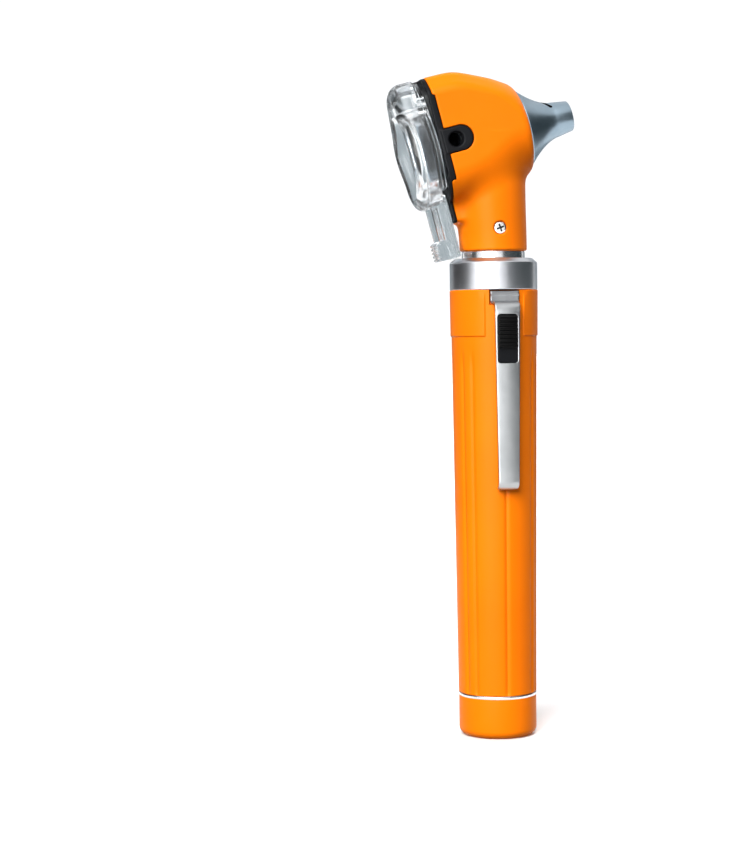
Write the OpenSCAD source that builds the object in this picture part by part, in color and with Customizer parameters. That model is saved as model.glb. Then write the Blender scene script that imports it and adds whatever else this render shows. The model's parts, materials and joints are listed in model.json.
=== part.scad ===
// Pocket otoscope with a screw-on fibre optic head, a swivelling magnifier window and a two-cell handle.
// Millimetres. +Z runs up the handle, +X is the way the speculum cone points.
// The origin is the centre of the flat bottom of the end cap.

/* [Battery cells] */
// Diameter of one cell
cell_d = 14; // [13:0.1:14.4]
// Length of one cell with its terminal
cell_len = 50.5; // [49:0.1:51]

/* [Handle] */
// Height of the end cap
cap_h = 9.9; // [9:0.1:12]
// Outer radius of the end cap
cap_r = 9.6; // [9.5:0.05:9.65]
// Height of the metal ring between the end cap and the tube
ring_h = 0.8; // [0.5:0.1:1]
// Height of the top edge of the handle tube
tube_top_z = 110.2; // [110:0.1:111]
// Outer radius of the tube at its lower end
tube_r_low = 9.65; // [9.6:0.05:9.8]
// Outer radius of the tube at its upper end
tube_r_top = 10.6; // [10.4:0.05:10.7]
// Height of the raised band at the top of the tube
band_h = 12; // [8:0.5:14]
// How far the band stands out
band_proud = 0.25; // [0.1:0.05:0.3]
// Depth of the lengthwise flutes
flute_depth = 0.35; // [0.2:0.05:0.5]
// Height of the metal collar
collar_h = 7; // [6:0.1:8]
// Outer radius of the metal collar
collar_r = 10.8; // [10.7:0.05:11]

/* [Clip and switch] */
// Direction that the clip faces, counted from +X
clip_azimuth = -87; // [-100:1:-60]
// Width of the clip at its upper end
clip_w_top = 6.3; // [6:0.1:7]
// Width of the clip at its lower end
clip_w_low = 5.1; // [4:0.1:6]
// Height of the upper end of the clip's face
clip_top_z = 107.4; // [106:0.1:107.5]
// Height of the lower end of the clip
clip_low_z = 61.5; // [58:0.5:66]
// Distance of the clip's outer face from the handle axis
clip_face_r = 12.9; // [12.7:0.05:13]
// Thickness of the clip's metal
clip_t = 0.7; // [0.5:0.05:0.8]
// Width of the switch slider
slider_w = 4.6; // [4:0.1:4.8]
// Length of the switch slider
slider_len = 8; // [7:0.1:8.4]
// Travel of the switch slider
slider_travel = 3.4; // [2:0.1:3.6]

/* [Head] */
// Height of the point where the optical axis crosses the handle axis
axis_z = 148; // [147:0.1:150]
// Tilt of the optical axis above the horizontal
tilt = 14.5; // [12:0.5:16]
// Half the width of the head at its back
head_half_w = 11; // [10.8:0.1:11.5]
// Wall thickness of the head shell
shell_t = 1.6; // [1.4:0.1:1.8]
// Outer radius of the neck at its lower end
neck_r = 8.3; // [8.2:0.05:8.5]
// Radius of the speculum seat at the tip of the cone
seat_r = 3.95; // [3.8:0.05:4.1]
// Length of the straight speculum seat
seat_len = 4; // [3:0.1:5]
// Radius of the bore that the user looks and works through
channel_r = 2.6; // [2.4:0.1:2.7]
// Radius of the port for the air bulb's hose
port_r = 1.7; // [1.5:0.05:1.8]

/* [Window] */
// Half the width of the window's rim
window_half_w = 10.8; // [10:0.1:11]
// Half the width of the magnifying lens
lens_half_w = 8.2; // [7:0.1:8.4]
// Half the height of the magnifying lens
lens_half_h = 10.4; // [9:0.1:11]
// Height of the pivot above the optical axis, square to it
pivot_v = 14.5; // [14:0.1:15]

/* [Hidden] */

$fn = 96;
eps = 0.01;
orange = [1, 0.58, 0.05];
black = [0.12, 0.12, 0.13];
satin_metal = [0.75, 0.76, 0.78];
bright_metal = [0.88, 0.89, 0.9];
brass = [0.8, 0.66, 0.3];
clear = [0.85, 0.9, 0.95, 0.4];

// Running clearance between a screwed or sliding pair, on the radius
run_gap = 0.08;
// Gap between pieces that only lie beside each other
side_gap = 0.15;

// Heights along the handle
cell_low_z = 7;
cell_r = cell_d / 2;
cell_top_z = cell_low_z + 2 * cell_len;
tube_low_z = cap_h + ring_h;
collar_top_z = tube_top_z + collar_h;
neck_ring_h = 2.6;
neck_z = collar_top_z + neck_ring_h;

// Radii inside the handle
liner_r = 7.4;
liner_t = 0.35;
bore_r = liner_r + liner_t;
plug_bore_r = 7.25;
plug_thread_r = 8.35;
plug_thread_len = 6;
spigot_r = 8.75;
spigot_len = 6;
collar_bore_r = 7.4;

// Cells and terminals
nub_r = 2.75;
nub_h = 1.2;
pin_flange_z = tube_top_z + 0.2;
pin_tip_z = tube_top_z + 3.4;

// Lamp
bulb_low_z = pin_tip_z + 0.06;
bulb_glass_z = bulb_low_z + 10;

// Clip and switch
root_z = 108.9;
root_h = 2;
root_w = 7.2;
root_r = 9.6;
bead_r = 0.45;
window_gap = 0.2;
clip_slot_w = slider_w + 2 * window_gap;
clip_slot_top_z = clip_top_z - 3.2;
clip_slot_low_z = clip_slot_top_z - slider_len - slider_travel - 2 * window_gap;
slider_top_z = clip_slot_top_z - window_gap;
base_slot_w = 1.8;
stem_w = 1.4;
stem_len = 3;
stem_top_z = slider_top_z - 2;
tube_slot_w = 3.4;

// Head, in its own axes: u along the optical axis, v up and square to it
back_u = -13.5;
mid_face_u = back_u - 1.7;
pad_back_u = back_u - 1.2;
pad_face_u = back_u - 3.2;
pad_r = 3;
tail_face_u = back_u - 2.2;
tail_pad_r = pivot_v + 10.5;
boss_r = 1.8;
head_top_v = 17.4;
head_low_v = -13.6;
land_half_w = 4.6;
land_low_v = -18.2;
boss_front_u = -12.2;
front_u = 7.7;
tip_u = 20.2;
cone_base_r = 9.6;
tube_wall = 0.35;
fiber_out_r = 3.35;
port_u = -11.2;
port_v = 1.2;
tab_u = -9.9;
tab_r = 3;
liner_out_r = 9.1;
liner_in_r = 7.9;
screw_z = 125.2;
screw_seat_r = neck_r - 0.8;
cone_slot_u = 14.7;
cone_slot_w = 0.9;
cone_slot_len = 3.4;

// Window, in the same axes
window_back_u = -23;
face_gap = 0.15;
tail_half_w = 4;
tail_low_v = -26.4;
tail_t = 2.6;
tail_edge_u = tail_face_u - 4.5;
grip_back_u = tail_face_u - 5.3;
grip_h = 4.6;
grip_rib_count = 5;
grip_rib_pitch = 0.9;
lens_back_u = -19.5;
lens_front_u = -17.1;
pin_r = 0.9;
pin_head_u = -21.6;
pin_seat_u = pin_head_u + 0.9;

// Points along an arc
function arc(centre, r, from, to, steps) =
    [for (i = [0:steps])
        let (angle = from + (to - from) * i / steps)
        centre + r * [cos(angle), sin(angle)]];

// Outline around two circles on one upright line, the wider one low
function egg(low_r, low_v, high_r, high_v) =
    let (lean = asin((low_r - high_r) / (high_v - low_v)))
    concat(
        arc([0, high_v], high_r, lean, 180 - lean, 24),
        arc([0, low_v], low_r, 180 - lean, 360 + lean, 48)
    );

// Radius of the cone at t along its flare, from 0 at the shell to 1 at the seat
function flare(t) = seat_r + (cone_base_r - seat_r) * pow(1 - t, 1.75);

// Outer radius of the handle tube at a height
function tube_r(z) =
    tube_r_low + (tube_r_top - tube_r_low) * (z - tube_low_z) / (tube_top_z - tube_low_z);

module ring(z, h, outer, inner) {
    translate([0, 0, z])
        difference() {
            cylinder(h = h, r = outer);
            translate([0, 0, -1]) cylinder(h = h + 2, r = inner);
        }
}

// Thread ridges, as rings one pitch apart
module ridges(low_z, pitch, count, root, crest) {
    rotate_extrude()
        for (i = [0:count - 1])
            translate([0, low_z + i * pitch])
                polygon([[root - 0.3, 0], [root, 0], [crest, 0.35 * pitch], [crest, 0.5 * pitch],
                         [root, 0.85 * pitch], [root - 0.3, 0.85 * pitch]]);
}

module at_clip() {
    rotate([0, 0, clip_azimuth]) children();
}

// Moves a shape into the head's axes: X becomes u and Z becomes v
module in_head() {
    translate([0, 0, axis_z]) rotate([0, -tilt, 0]) children();
}

// Extrudes an outline in Y and v along u
module along_u(from, to) {
    translate([from, 0, 0]) rotate([90, 0, 90]) linear_extrude(to - from) children();
}

// Turns a profile of radius and u about the optical axis
module around_u() {
    rotate([0, 90, 0]) rotate_extrude() children();
}

// Faces of a closed tube made of rings of points
function tube_faces(rings, sides) = concat(
    [for (i = [0:rings - 2]) for (s = [0:sides - 1])
        [i * sides + s, (i + 1) * sides + s, (i + 1) * sides + (s + 1) % sides, i * sides + (s + 1) % sides]],
    [[for (s = [0:sides - 1]) s]],
    [[for (s = [sides - 1:-1:0]) (rings - 1) * sides + s]]
);

// Coil spring of round wire
module coil(low_z, high_z, mean_r, wire_r, turns) {
    sides = 8;
    per_turn = 20;
    count = turns * per_turn;
    climb = (high_z - low_z - 2 * wire_r) / count;
    points = [for (i = [0:count]) for (s = [0:sides - 1])
        let (turn = 360 * i / per_turn, side = 360 * s / sides, reach = mean_r + wire_r * cos(side))
        [reach * cos(turn), reach * sin(turn), low_z + wire_r + climb * i + wire_r * sin(side)]];
    polyhedron(points, tube_faces(count + 1, sides));
}

module cell(z) {
    can_h = cell_len - nub_h;
    translate([0, 0, z])
        rotate_extrude()
            polygon([[0, 0], [cell_r - 0.6, 0], [cell_r, 0.5], [cell_r, can_h - 0.5], [cell_r - 0.6, can_h],
                     [nub_r, can_h], [nub_r, cell_len - 0.3], [nub_r - 0.3, cell_len], [0, cell_len]]);
}

// Handle ------------------------------------------------------------------

module handle_body() {
    thread_top_z = tube_low_z + plug_thread_len + 0.3;
    band_low_z = tube_top_z - band_h;
    flute_r = 3;
    color(orange)
        difference() {
            union() {
                translate([0, 0, tube_low_z])
                    cylinder(h = tube_top_z - tube_low_z, r1 = tube_r_low, r2 = tube_r_top);
                translate([0, 0, band_low_z])
                    cylinder(h = band_h, r1 = tube_r(band_low_z) + band_proud, r2 = tube_r_top + band_proud);
            }
            // Bores for the end cap's thread, the liner and the collar's spigot
            translate([0, 0, tube_low_z - 1])
                cylinder(h = thread_top_z - tube_low_z + 1, r = plug_thread_r + run_gap);
            translate([0, 0, tube_low_z]) cylinder(h = tube_top_z - tube_low_z + 1, r = bore_r + 0.02);
            translate([0, 0, tube_top_z - spigot_len]) cylinder(h = spigot_len + 1, r = spigot_r + 0.02);
            // The band is open behind the clip
            at_clip()
                translate([tube_r_top - 0.15, -4.8, band_low_z - 1]) cube([3, 9.6, band_h + 2]);
            // Lengthwise flutes
            for (side = [-1, 1]) for (angle = [0, 47, 64])
                rotate([0, 0, clip_azimuth + side * angle])
                    translate([tube_r_low + flute_r - flute_depth, 0, tube_low_z + 0.8])
                        rotate([0, asin((tube_r_top - tube_r_low) / (tube_top_z - tube_low_z)), 0])
                            cylinder(h = band_low_z - tube_low_z - 3, r = flute_r, $fn = 48);
            // Seat for the clip's root and slot for the switch
            at_clip() {
                translate([root_r - side_gap, -root_w / 2 - side_gap, clip_top_z - clip_t - side_gap])
                    cube([4, root_w + 2 * side_gap, tube_top_z - clip_top_z + clip_t + 1]);
                translate([bore_r - 1, -tube_slot_w / 2, clip_slot_low_z + 0.6])
                    cube([6, tube_slot_w, clip_slot_top_z - clip_slot_low_z - 0.6]);
            }
        }
}

module liner_tube() {
    liner_low_z = tube_low_z + plug_thread_len + 0.4;
    color(bright_metal)
        difference() {
            ring(liner_low_z, tube_top_z - 1.2 - liner_low_z, bore_r, liner_r);
            at_clip()
                translate([liner_r - 1, -tube_slot_w / 2, clip_slot_low_z + 4])
                    cube([3, tube_slot_w, clip_slot_top_z - clip_slot_low_z - 4]);
        }
}

module top_collar() {
    spigot_low_z = tube_top_z - spigot_len + 0.1;
    color(satin_metal)
        rotate_extrude()
            polygon([[collar_bore_r, tube_top_z - 0.4], [bore_r + 0.05, tube_top_z - 0.4],
                     [bore_r + 0.05, spigot_low_z], [spigot_r, spigot_low_z],
                     [spigot_r, tube_top_z + 0.02], [collar_r, tube_top_z + 0.02],
                     [collar_r, collar_top_z - 1], [collar_r - 0.3, collar_top_z - 0.3],
                     [collar_r - 1, collar_top_z], [collar_bore_r, collar_top_z]]);
}

module contact_insulator() {
    insulator_low_z = cell_top_z + 0.9;
    shelf_z = tube_top_z + 0.9;
    top_z = tube_top_z + 2.2;
    color(black)
        rotate_extrude()
            polygon([[2.5, insulator_low_z], [liner_r - 0.05, insulator_low_z], [liner_r - 0.05, top_z],
                     [1.3, top_z], [1.3, shelf_z], [2.5, shelf_z]]);
}

module battery_lower() {
    color(bright_metal) cell(cell_low_z);
}

module battery_upper() {
    color(bright_metal) cell(cell_low_z + cell_len);
}

module contact_pin() {
    color(brass)
        rotate_extrude()
            polygon([[0, cell_top_z + 1.2], [1.2, cell_top_z + 1.2], [1.2, pin_flange_z], [2.2, pin_flange_z],
                     [2.2, pin_flange_z + 0.6], [1.22, pin_flange_z + 0.6], [1.22, pin_tip_z - 0.6],
                     [0.7, pin_tip_z], [0, pin_tip_z]]);
}

module contact_spring() {
    color(bright_metal) coil(cell_top_z + 0.05, pin_flange_z - 0.05, 1.75, 0.25, 3);
}

// Clip and switch ---------------------------------------------------------

module clip_profile() {
    outer_r = 2.2;
    face_in = clip_face_r - clip_t;
    bend = [clip_face_r - outer_r, clip_top_z - outer_r];
    roll = [clip_face_r - outer_r, clip_low_z + outer_r];
    polygon(concat(
        [[root_r, root_z + root_h / 2], [root_r, clip_top_z - clip_t]],
        arc(bend, outer_r - clip_t, 90, 0, 8),
        arc(roll, outer_r - clip_t, 0, -80, 8),
        arc(roll, outer_r, -80, 0, 12),
        arc(bend, outer_r, 0, 90, 12),
        [[root_r + clip_t, clip_top_z], [root_r + clip_t, root_z + root_h / 2]]
    ));
}

module clip_strip() {
    color(bright_metal)
        at_clip()
            difference() {
                intersection() {
                    rotate([90, 0, 0])
                        translate([0, 0, -root_w / 2]) linear_extrude(root_w) clip_profile();
                    union() {
                        rotate([90, 0, 90])
                            linear_extrude(clip_face_r + 1)
                                polygon(concat(
                                    arc([clip_w_top / 2 - 0.8, clip_top_z - 1], 0.8, 60, 0, 6),
                                    arc([clip_w_low / 2 - 1, clip_low_z + 1], 1, 0, -90, 8),
                                    arc([-clip_w_low / 2 + 1, clip_low_z + 1], 1, -90, -180, 8),
                                    arc([-clip_w_top / 2 + 0.8, clip_top_z - 1], 0.8, 180, 120, 6),
                                    [[-clip_w_top / 2 + 0.8, root_z], [clip_w_top / 2 - 0.8, root_z]]
                                ));
                        translate([0, -root_w / 2, clip_top_z - clip_t - eps])
                            cube([root_r + clip_t + eps, root_w, root_h + 4]);
                    }
                }
                translate([root_r + 1, -clip_slot_w / 2, clip_slot_low_z])
                    cube([5, clip_slot_w, clip_slot_top_z - clip_slot_low_z]);
            }
}

// Bead along the clip's root, which rocks in its seat
module clip_bead() {
    color(bright_metal)
        at_clip()
            translate([root_r + clip_t / 2, root_w / 2, root_z])
                rotate([90, 0, 0]) cylinder(h = root_w, r = bead_r, $fn = 48);
}

module clip() {
    clip_strip();
    clip_bead();
}

module switch_base() {
    inner_r = tube_r_top + 0.45;
    face_r = clip_face_r - clip_t - 0.05;
    base_w = clip_w_low - 0.1;
    slot_len = clip_slot_top_z - clip_slot_low_z;
    color(black)
        at_clip()
            difference() {
                union() {
                    translate([inner_r, -base_w / 2, clip_slot_low_z - 0.8])
                        cube([face_r - inner_r, base_w, slot_len + 1.6]);
                    translate([inner_r, -clip_slot_w / 2 + 0.05, clip_slot_low_z + 0.05])
                        cube([face_r - inner_r + 0.35, clip_slot_w - 0.1, slot_len - 0.1]);
                }
                translate([inner_r - 1, -base_slot_w / 2, stem_top_z - stem_len - slider_travel - window_gap])
                    cube([5, base_slot_w, stem_len + slider_travel + 2 * window_gap]);
            }
}

module switch_slider() {
    floor_r = clip_face_r - clip_t + 0.45;
    rib_low_r = floor_r + 0.75;
    rib_top_r = floor_r + 1.05;
    rib_count = 8;
    rib_pitch = slider_len / rib_count;
    color(black)
        at_clip() {
            rotate([90, 0, 0])
                translate([0, 0, -slider_w / 2])
                    linear_extrude(slider_w)
                        polygon(concat(
                            [[floor_r, slider_top_z], [floor_r, slider_top_z - slider_len]],
                            [for (i = [0:rib_count - 1])
                                let (z = slider_top_z - slider_len + (i + 0.1) * rib_pitch)
                                each [[rib_low_r, z], [rib_top_r, z + 0.2 * rib_pitch],
                                      [rib_top_r, z + 0.6 * rib_pitch], [rib_low_r, z + 0.8 * rib_pitch]]]
                        ));
            translate([tube_r_top - 1, -stem_w / 2, stem_top_z - stem_len])
                cube([floor_r - tube_r_top + 1 + eps, stem_w, stem_len]);
        }
}

module switch_contact() {
    color(brass)
        at_clip()
            rotate([90, 0, 0])
                translate([0, 0, -1.2])
                    linear_extrude(2.4)
                        polygon([[9.55, stem_top_z], [9.25, stem_top_z], [8.35, stem_top_z - 1],
                                 [8.35, stem_top_z - 1.8], [9.25, stem_top_z - stem_len],
                                 [9.55, stem_top_z - stem_len]]);
}

// End cap -----------------------------------------------------------------

module cap_shell() {
    round_r = 2;
    color(orange)
        rotate_extrude()
            polygon(concat(
                [[0, 0]],
                arc([cap_r - round_r, round_r], round_r, -90, 0, 12),
                [[cap_r, cap_h], [8.1, cap_h], [8.1, 1.8], [0, 1.8]]
            ));
}

module cap_plug() {
    root_r = plug_thread_r - 0.45;
    top_z = tube_low_z + plug_thread_len;
    color(bright_metal) {
        rotate_extrude()
            polygon([[plug_bore_r, 4], [8.08, 4], [8.08, cap_h + 0.02], [cap_r + 0.1, cap_h + 0.02],
                     [cap_r + 0.1, tube_low_z - 0.02], [root_r, tube_low_z - 0.02],
                     [root_r, top_z], [plug_bore_r, top_z]]);
        ridges(tube_low_z + 1.2, 1.5, 3, root_r, plug_thread_r);
    }
}

module cap_seal() {
    color(black)
        rotate_extrude()
            translate([7.4, 3.2]) circle(r = 0.6, $fn = 24);
}

module battery_spring() {
    color(bright_metal) coil(1.85, cell_low_z - 0.05, 4.2, 0.45, 4);
}

// Lamp --------------------------------------------------------------------

module bulb_base() {
    color(brass)
        rotate_extrude()
            polygon([[0, bulb_low_z], [1, bulb_low_z], [1.4, bulb_low_z + 0.5], [1.4, bulb_low_z + 1],
                     [3.1, bulb_low_z + 1.4], [3.1, bulb_glass_z - 3], [3.9, bulb_glass_z - 3],
                     [3.9, bulb_glass_z - 2.4], [2.7, bulb_glass_z - 2.4], [2.7, bulb_glass_z],
                     [0, bulb_glass_z]]);
}

module bulb_glass() {
    glass_r = 2.4;
    color(clear)
        rotate_extrude()
            polygon(concat([[0, bulb_glass_z], [glass_r, bulb_glass_z]],
                           arc([0, bulb_glass_z + 4.4], glass_r, 0, 90, 12)));
}

module lamp_socket() {
    color(black)
        difference() {
            ring(bulb_low_z + 1.6, 7, 5.8, 3.2);
            translate([0, 0, bulb_glass_z - 3.05]) cylinder(h = 10, r = 4.1);
        }
}

// Head --------------------------------------------------------------------

module neck_tube() {
    thread_r = collar_bore_r - run_gap;
    root = thread_r - 0.4;
    color(bright_metal)
        difference() {
            union() {
                rotate_extrude()
                    polygon([[5.85, tube_top_z + 2.7], [root, tube_top_z + 2.7], [root, collar_top_z + 0.1],
                             [7.75, collar_top_z + 0.1], [7.75, neck_z], [6.4, neck_z], [6.4, neck_z + 8],
                             [5, neck_z + 8], [5, screw_z - 1.2], [5.85, screw_z - 1.2]]);
                ridges(tube_top_z + 2.9, 1, 4, root, thread_r);
            }
            translate([0, 0, screw_z]) rotate([90, 0, 0]) cylinder(h = 12, r = 0.62, $fn = 32);
        }
}

// Outline of the back of the head, as seen along the optical axis
module head_outline(inset) {
    low_r = 8.2;
    high_r = 5;
    hull()
        for (side = [-1, 1]) {
            translate([side * (head_half_w - low_r), head_low_v + low_r]) circle(r = low_r - inset, $fn = 64);
            translate([side * (head_half_w - high_r), head_top_v - high_r])
                circle(r = high_r - inset, $fn = 64);
        }
}

// Solid form of the head, smaller all over by the given inset
module head_form(inset) {
    hull() {
        in_head() along_u(pad_back_u, pad_back_u + eps) head_outline(inset);
        in_head() along_u(3.4, 4.5) translate([0, 0.4]) circle(r = 10.6 - inset, $fn = 64);
        in_head() along_u(front_u - eps, front_u) circle(r = 9.9 - inset, $fn = 64);
    }
    hull() {
        translate([0, 0, neck_z]) cylinder(h = 1, r = neck_r - inset, $fn = 64);
        translate([-0.8, 0, 133]) cylinder(h = 10, r = 8.8 - inset, $fn = 64);
    }
    // Land under the window's tail
    in_head() along_u(pad_back_u, -9)
        translate([inset - land_half_w, land_low_v]) square([2 * (land_half_w - inset), 14]);
}

// Turns a shape's Z axis onto the window's pivot axis
module about_pivot() {
    translate([0, 0, pivot_v]) rotate([0, 90, 0]) children();
}

// Disc around the pivot, which stands back from the frame's face
module pivot_pad(from, to, grow) {
    about_pivot() translate([0, 0, from]) cylinder(h = to - from, r = pad_r + grow);
}

// All that lies farther from the pivot than the rim's lower end
module tail_pad(from, to, grow) {
    about_pivot() ring(from, to - from, 70, tail_pad_r - grow);
}

module pads(from, to, grow) {
    pivot_pad(from, to, grow);
    tail_pad(from, to, grow);
}

// Boss for the air port, with a round front end
module port_tab(from_u, inner_y, outer_y, grow) {
    rotate([90, 0, 0])
        translate([0, 0, inner_y])
            linear_extrude(outer_y - inner_y) {
                translate([tab_u, port_v]) circle(r = tab_r + grow);
                translate([from_u, port_v - tab_r - grow]) square([tab_u - from_u, 2 * (tab_r + grow)]);
            }
}

module head_shell() {
    color(orange)
        difference() {
            head_form(0);
            intersection() {
                head_form(shell_t);
                translate([-50, -50, neck_z + 6]) cube(100);
            }
            in_head() {
                along_u(-60, pad_back_u) square(120, center = true);
                difference() {
                    along_u(-60, back_u) square(120, center = true);
                    pads(-61, 0, -0.4);
                }
                port_tab(-20, 0, 20, 0.1);
                along_u(-20, -5.8) circle(r = liner_out_r + 0.1);
                about_pivot() translate([0, 0, -20]) cylinder(h = 20 + boss_front_u + 0.1, r = boss_r + 0.1);
                along_u(0, front_u + 1) circle(r = cone_base_r - 0.9);
                along_u(front_u - 1.6, front_u + 1) circle(r = cone_base_r + 0.05);
            }
            translate([0, 0, neck_z - 1]) cylinder(h = 16, r = 6.45);
            translate([0, 0, screw_z])
                rotate([90, 0, 0]) {
                    cylinder(h = 12, r = 0.9, $fn = 32);
                    translate([0, 0, screw_seat_r]) cylinder(h = 4, r = 1.6, $fn = 48);
                }
        }
}

// Outline of the frame, as seen along the optical axis
module frame_outline() {
    head_outline(0.1);
    translate([-land_half_w, land_low_v]) square([2 * land_half_w, 14]);
}

module inner_body() {
    color(black)
        in_head()
            difference() {
                union() {
                    difference() {
                        along_u(mid_face_u, back_u - 0.02) frame_outline();
                        pads(-40, 10, -0.3);
                    }
                    intersection() {
                        along_u(pad_face_u, pad_back_u - 0.02) frame_outline();
                        pivot_pad(-40, 10, 0);
                    }
                    intersection() {
                        along_u(tail_face_u, pad_back_u - 0.02) frame_outline();
                        tail_pad(-40, 10, 0);
                    }
                    around_u()
                        polygon([[liner_in_r, back_u - 1], [liner_out_r, back_u - 1], [liner_out_r, -6],
                                 [3.7, -1], [3.7, 1], [3.02, 1], [3.02, -1.4], [liner_in_r, -6.8]]);
                    port_tab(mid_face_u + 0.7, 8.2, head_half_w + 0.15, 0);
                    about_pivot()
                        translate([0, 0, pad_back_u - 0.5])
                            cylinder(h = boss_front_u - pad_back_u + 0.5, r = boss_r);
                }
                along_u(-20, back_u + 0.5) circle(r = liner_in_r);
                rotate([90, 0, 0]) translate([port_u, port_v, 0]) cylinder(h = 20, r = port_r, $fn = 64);
                about_pivot() translate([0, 0, -30]) cylinder(h = 40, r = pin_r, $fn = 48);
            }
}

module speculum_cone() {
    seat_u = tip_u - seat_len;
    bore = fiber_out_r + 0.02;
    wall = 0.8;
    steps = 24;
    stations = [for (i = [0:steps]) front_u + (seat_u - front_u) * i / steps];
    outer = [for (i = [0:steps]) [flare(i / steps), stations[i]]];
    inner = [for (i = [steps:-1:0]) [max(flare(i / steps) - wall, bore), stations[i]]];
    color(satin_metal)
        in_head()
            difference() {
                around_u()
                    polygon(concat(
                        [[cone_base_r - wall, front_u - 1.55], [cone_base_r, front_u - 1.55]],
                        outer,
                        [[seat_r, tip_u - 0.15], [seat_r - 0.15, tip_u], [bore, tip_u]],
                        inner
                    ));
                // Bayonet slot behind the seat, slanting down towards the tip
                rotate([29, 0, 0])
                    translate([cone_slot_u, 0, seat_r - 0.6])
                        rotate([0, 0, 32])
                            translate([-cone_slot_w / 2, -cone_slot_len / 2, 0])
                                cube([cone_slot_w, cone_slot_len, 4]);
            }
}

module instrument_tube() {
    outer_r = channel_r + tube_wall;
    color(black)
        in_head()
            around_u()
                polygon([[channel_r, -3], [outer_r, -3], [outer_r, tip_u - 0.1], [channel_r, tip_u - 0.1]]);
}

module fiber_ring() {
    inner_r = channel_r + tube_wall + 0.03;
    end_u = tip_u - 0.05;
    color(clear)
        in_head()
            around_u()
                polygon([[inner_r, 11], [fiber_out_r, 11], [fiber_out_r, end_u], [inner_r, end_u]]);
}

// Smooth rod that rises, bends over and runs along the optical axis
module fiber_bundle() {
    bundle_r = 1.8;
    bend_r = 5;
    low_z = bulb_glass_z + 8;
    bend_z = 138.3;
    run = 5.8;
    turn = 90 - tilt;
    sides = 20;
    centres = concat(
        [[0, low_z, 0]],
        [for (i = [0:10])
            let (a = turn * i / 10)
            [bend_r * (1 - cos(a)), bend_z + bend_r * sin(a), a]],
        [[bend_r * (1 - cos(turn)) + run * sin(turn), bend_z + bend_r * sin(turn) + run * cos(turn), turn]]
    );
    points = [for (c = centres) for (s = [0:sides - 1])
        let (across = bundle_r * cos(360 * s / sides), aside = bundle_r * sin(360 * s / sides))
        [c[0] + across * cos(c[2]), aside, c[1] - across * sin(c[2])]];
    color(clear) polyhedron(points, tube_faces(len(centres), sides));
}

module head_screw() {
    head_r = 1.475;
    face_r = neck_r + 0.05;
    color(bright_metal)
        translate([0, 0, screw_z])
            rotate([90, 0, 0])
                difference() {
                    rotate_extrude()
                        polygon([[0, 5.1], [0.6, 5.1], [0.6, screw_seat_r], [head_r, screw_seat_r],
                                 [head_r, face_r - 0.25], [head_r - 0.4, face_r], [0, face_r]]);
                    for (angle = [20, 110])
                        rotate([0, 0, angle]) translate([-0.9, -0.17, face_r - 0.6]) cube([1.8, 0.34, 2]);
                }
}

// Window ------------------------------------------------------------------

module rim_outline(inset) {
    polygon(egg(window_half_w - inset, 1, 7 - inset, 10.6));
    rotate(180) polygon(egg(window_half_w - inset, -1, 8 - inset, 5.5));
}

module oval(half_w, half_h) {
    scale([half_w / half_h, 1]) circle(r = half_h);
}

// Flat piece of the window's tail, by its half width and the reach of v
module tail_slab(from, to, low_v, high_v) {
    along_u(from, to)
        translate([-tail_half_w, low_v]) square([2 * tail_half_w, high_v - low_v]);
}

module window_frame() {
    plate_u = tail_face_u - face_gap;
    color(clear)
        in_head()
            difference() {
                union() {
                    along_u(window_back_u + 2, pad_face_u - face_gap) rim_outline(0);
                    along_u(window_back_u + 0.6, window_back_u + 2 + eps) rim_outline(1);
                    along_u(window_back_u, window_back_u + 0.6 + eps) rim_outline(2);
                    intersection() {
                        along_u(pad_face_u - 1, mid_face_u - face_gap) rim_outline(0);
                        about_pivot() ring(-30, 30, tail_pad_r - 0.4, pad_r + 0.4);
                    }
                    tail_slab(plate_u - tail_t, plate_u, tail_low_v, -11);
                    tail_slab(plate_u - tail_t, pad_face_u - face_gap, tail_low_v, -8);
                    along_u(tail_edge_u, plate_u - 1)
                        for (side = [-1, 1])
                            translate([side * (tail_half_w - 0.6) - 0.6, tail_low_v + 4])
                                square([1.2, -tail_low_v - 13.5]);
                    tail_slab(grip_back_u, plate_u - 1, tail_low_v, tail_low_v + grip_h);
                    for (i = [0:grip_rib_count - 1])
                        let (v = tail_low_v + 0.2 + i * grip_rib_pitch)
                        tail_slab(grip_back_u - 0.5, grip_back_u + 0.1, v, v + 0.5);
                }
                along_u(-30, lens_back_u + 1) oval(lens_half_w - 0.9, lens_half_h - 0.9);
                along_u(lens_back_u - 0.4, -10) oval(lens_half_w + 0.05, lens_half_h + 0.05);
                about_pivot() {
                    translate([0, 0, -30]) cylinder(h = 40, r = pin_r + 0.05, $fn = 48);
                    translate([0, 0, -30]) cylinder(h = 30.45 + pin_seat_u, r = 2.3, $fn = 48);
                }
            }
}

module lens() {
    bulge_r = 42;
    lens_bulge = 0.9;
    color(clear)
        in_head()
            intersection() {
                along_u(lens_back_u - 4, lens_front_u) oval(lens_half_w, lens_half_h);
                translate([lens_back_u - lens_bulge + bulge_r, 0, 0])
                    rotate([0, 90, 0]) sphere(r = bulge_r, $fn = 128);
            }
}

module pivot_pin() {
    color(bright_metal)
        in_head()
            about_pivot()
                rotate_extrude()
                    polygon([[0, pin_head_u], [1.5, pin_head_u], [1.8, pin_head_u + 0.3], [1.8, pin_seat_u],
                             [pin_r, pin_seat_u], [pin_r, boss_front_u - 0.3],
                             [pin_r - 0.3, boss_front_u], [0, boss_front_u]]);
}

module pivot_washer() {
    color(bright_metal)
        in_head()
            about_pivot() ring(pin_seat_u + 0.05, 0.35, 1.9, pin_r + 0.06);
}

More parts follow.
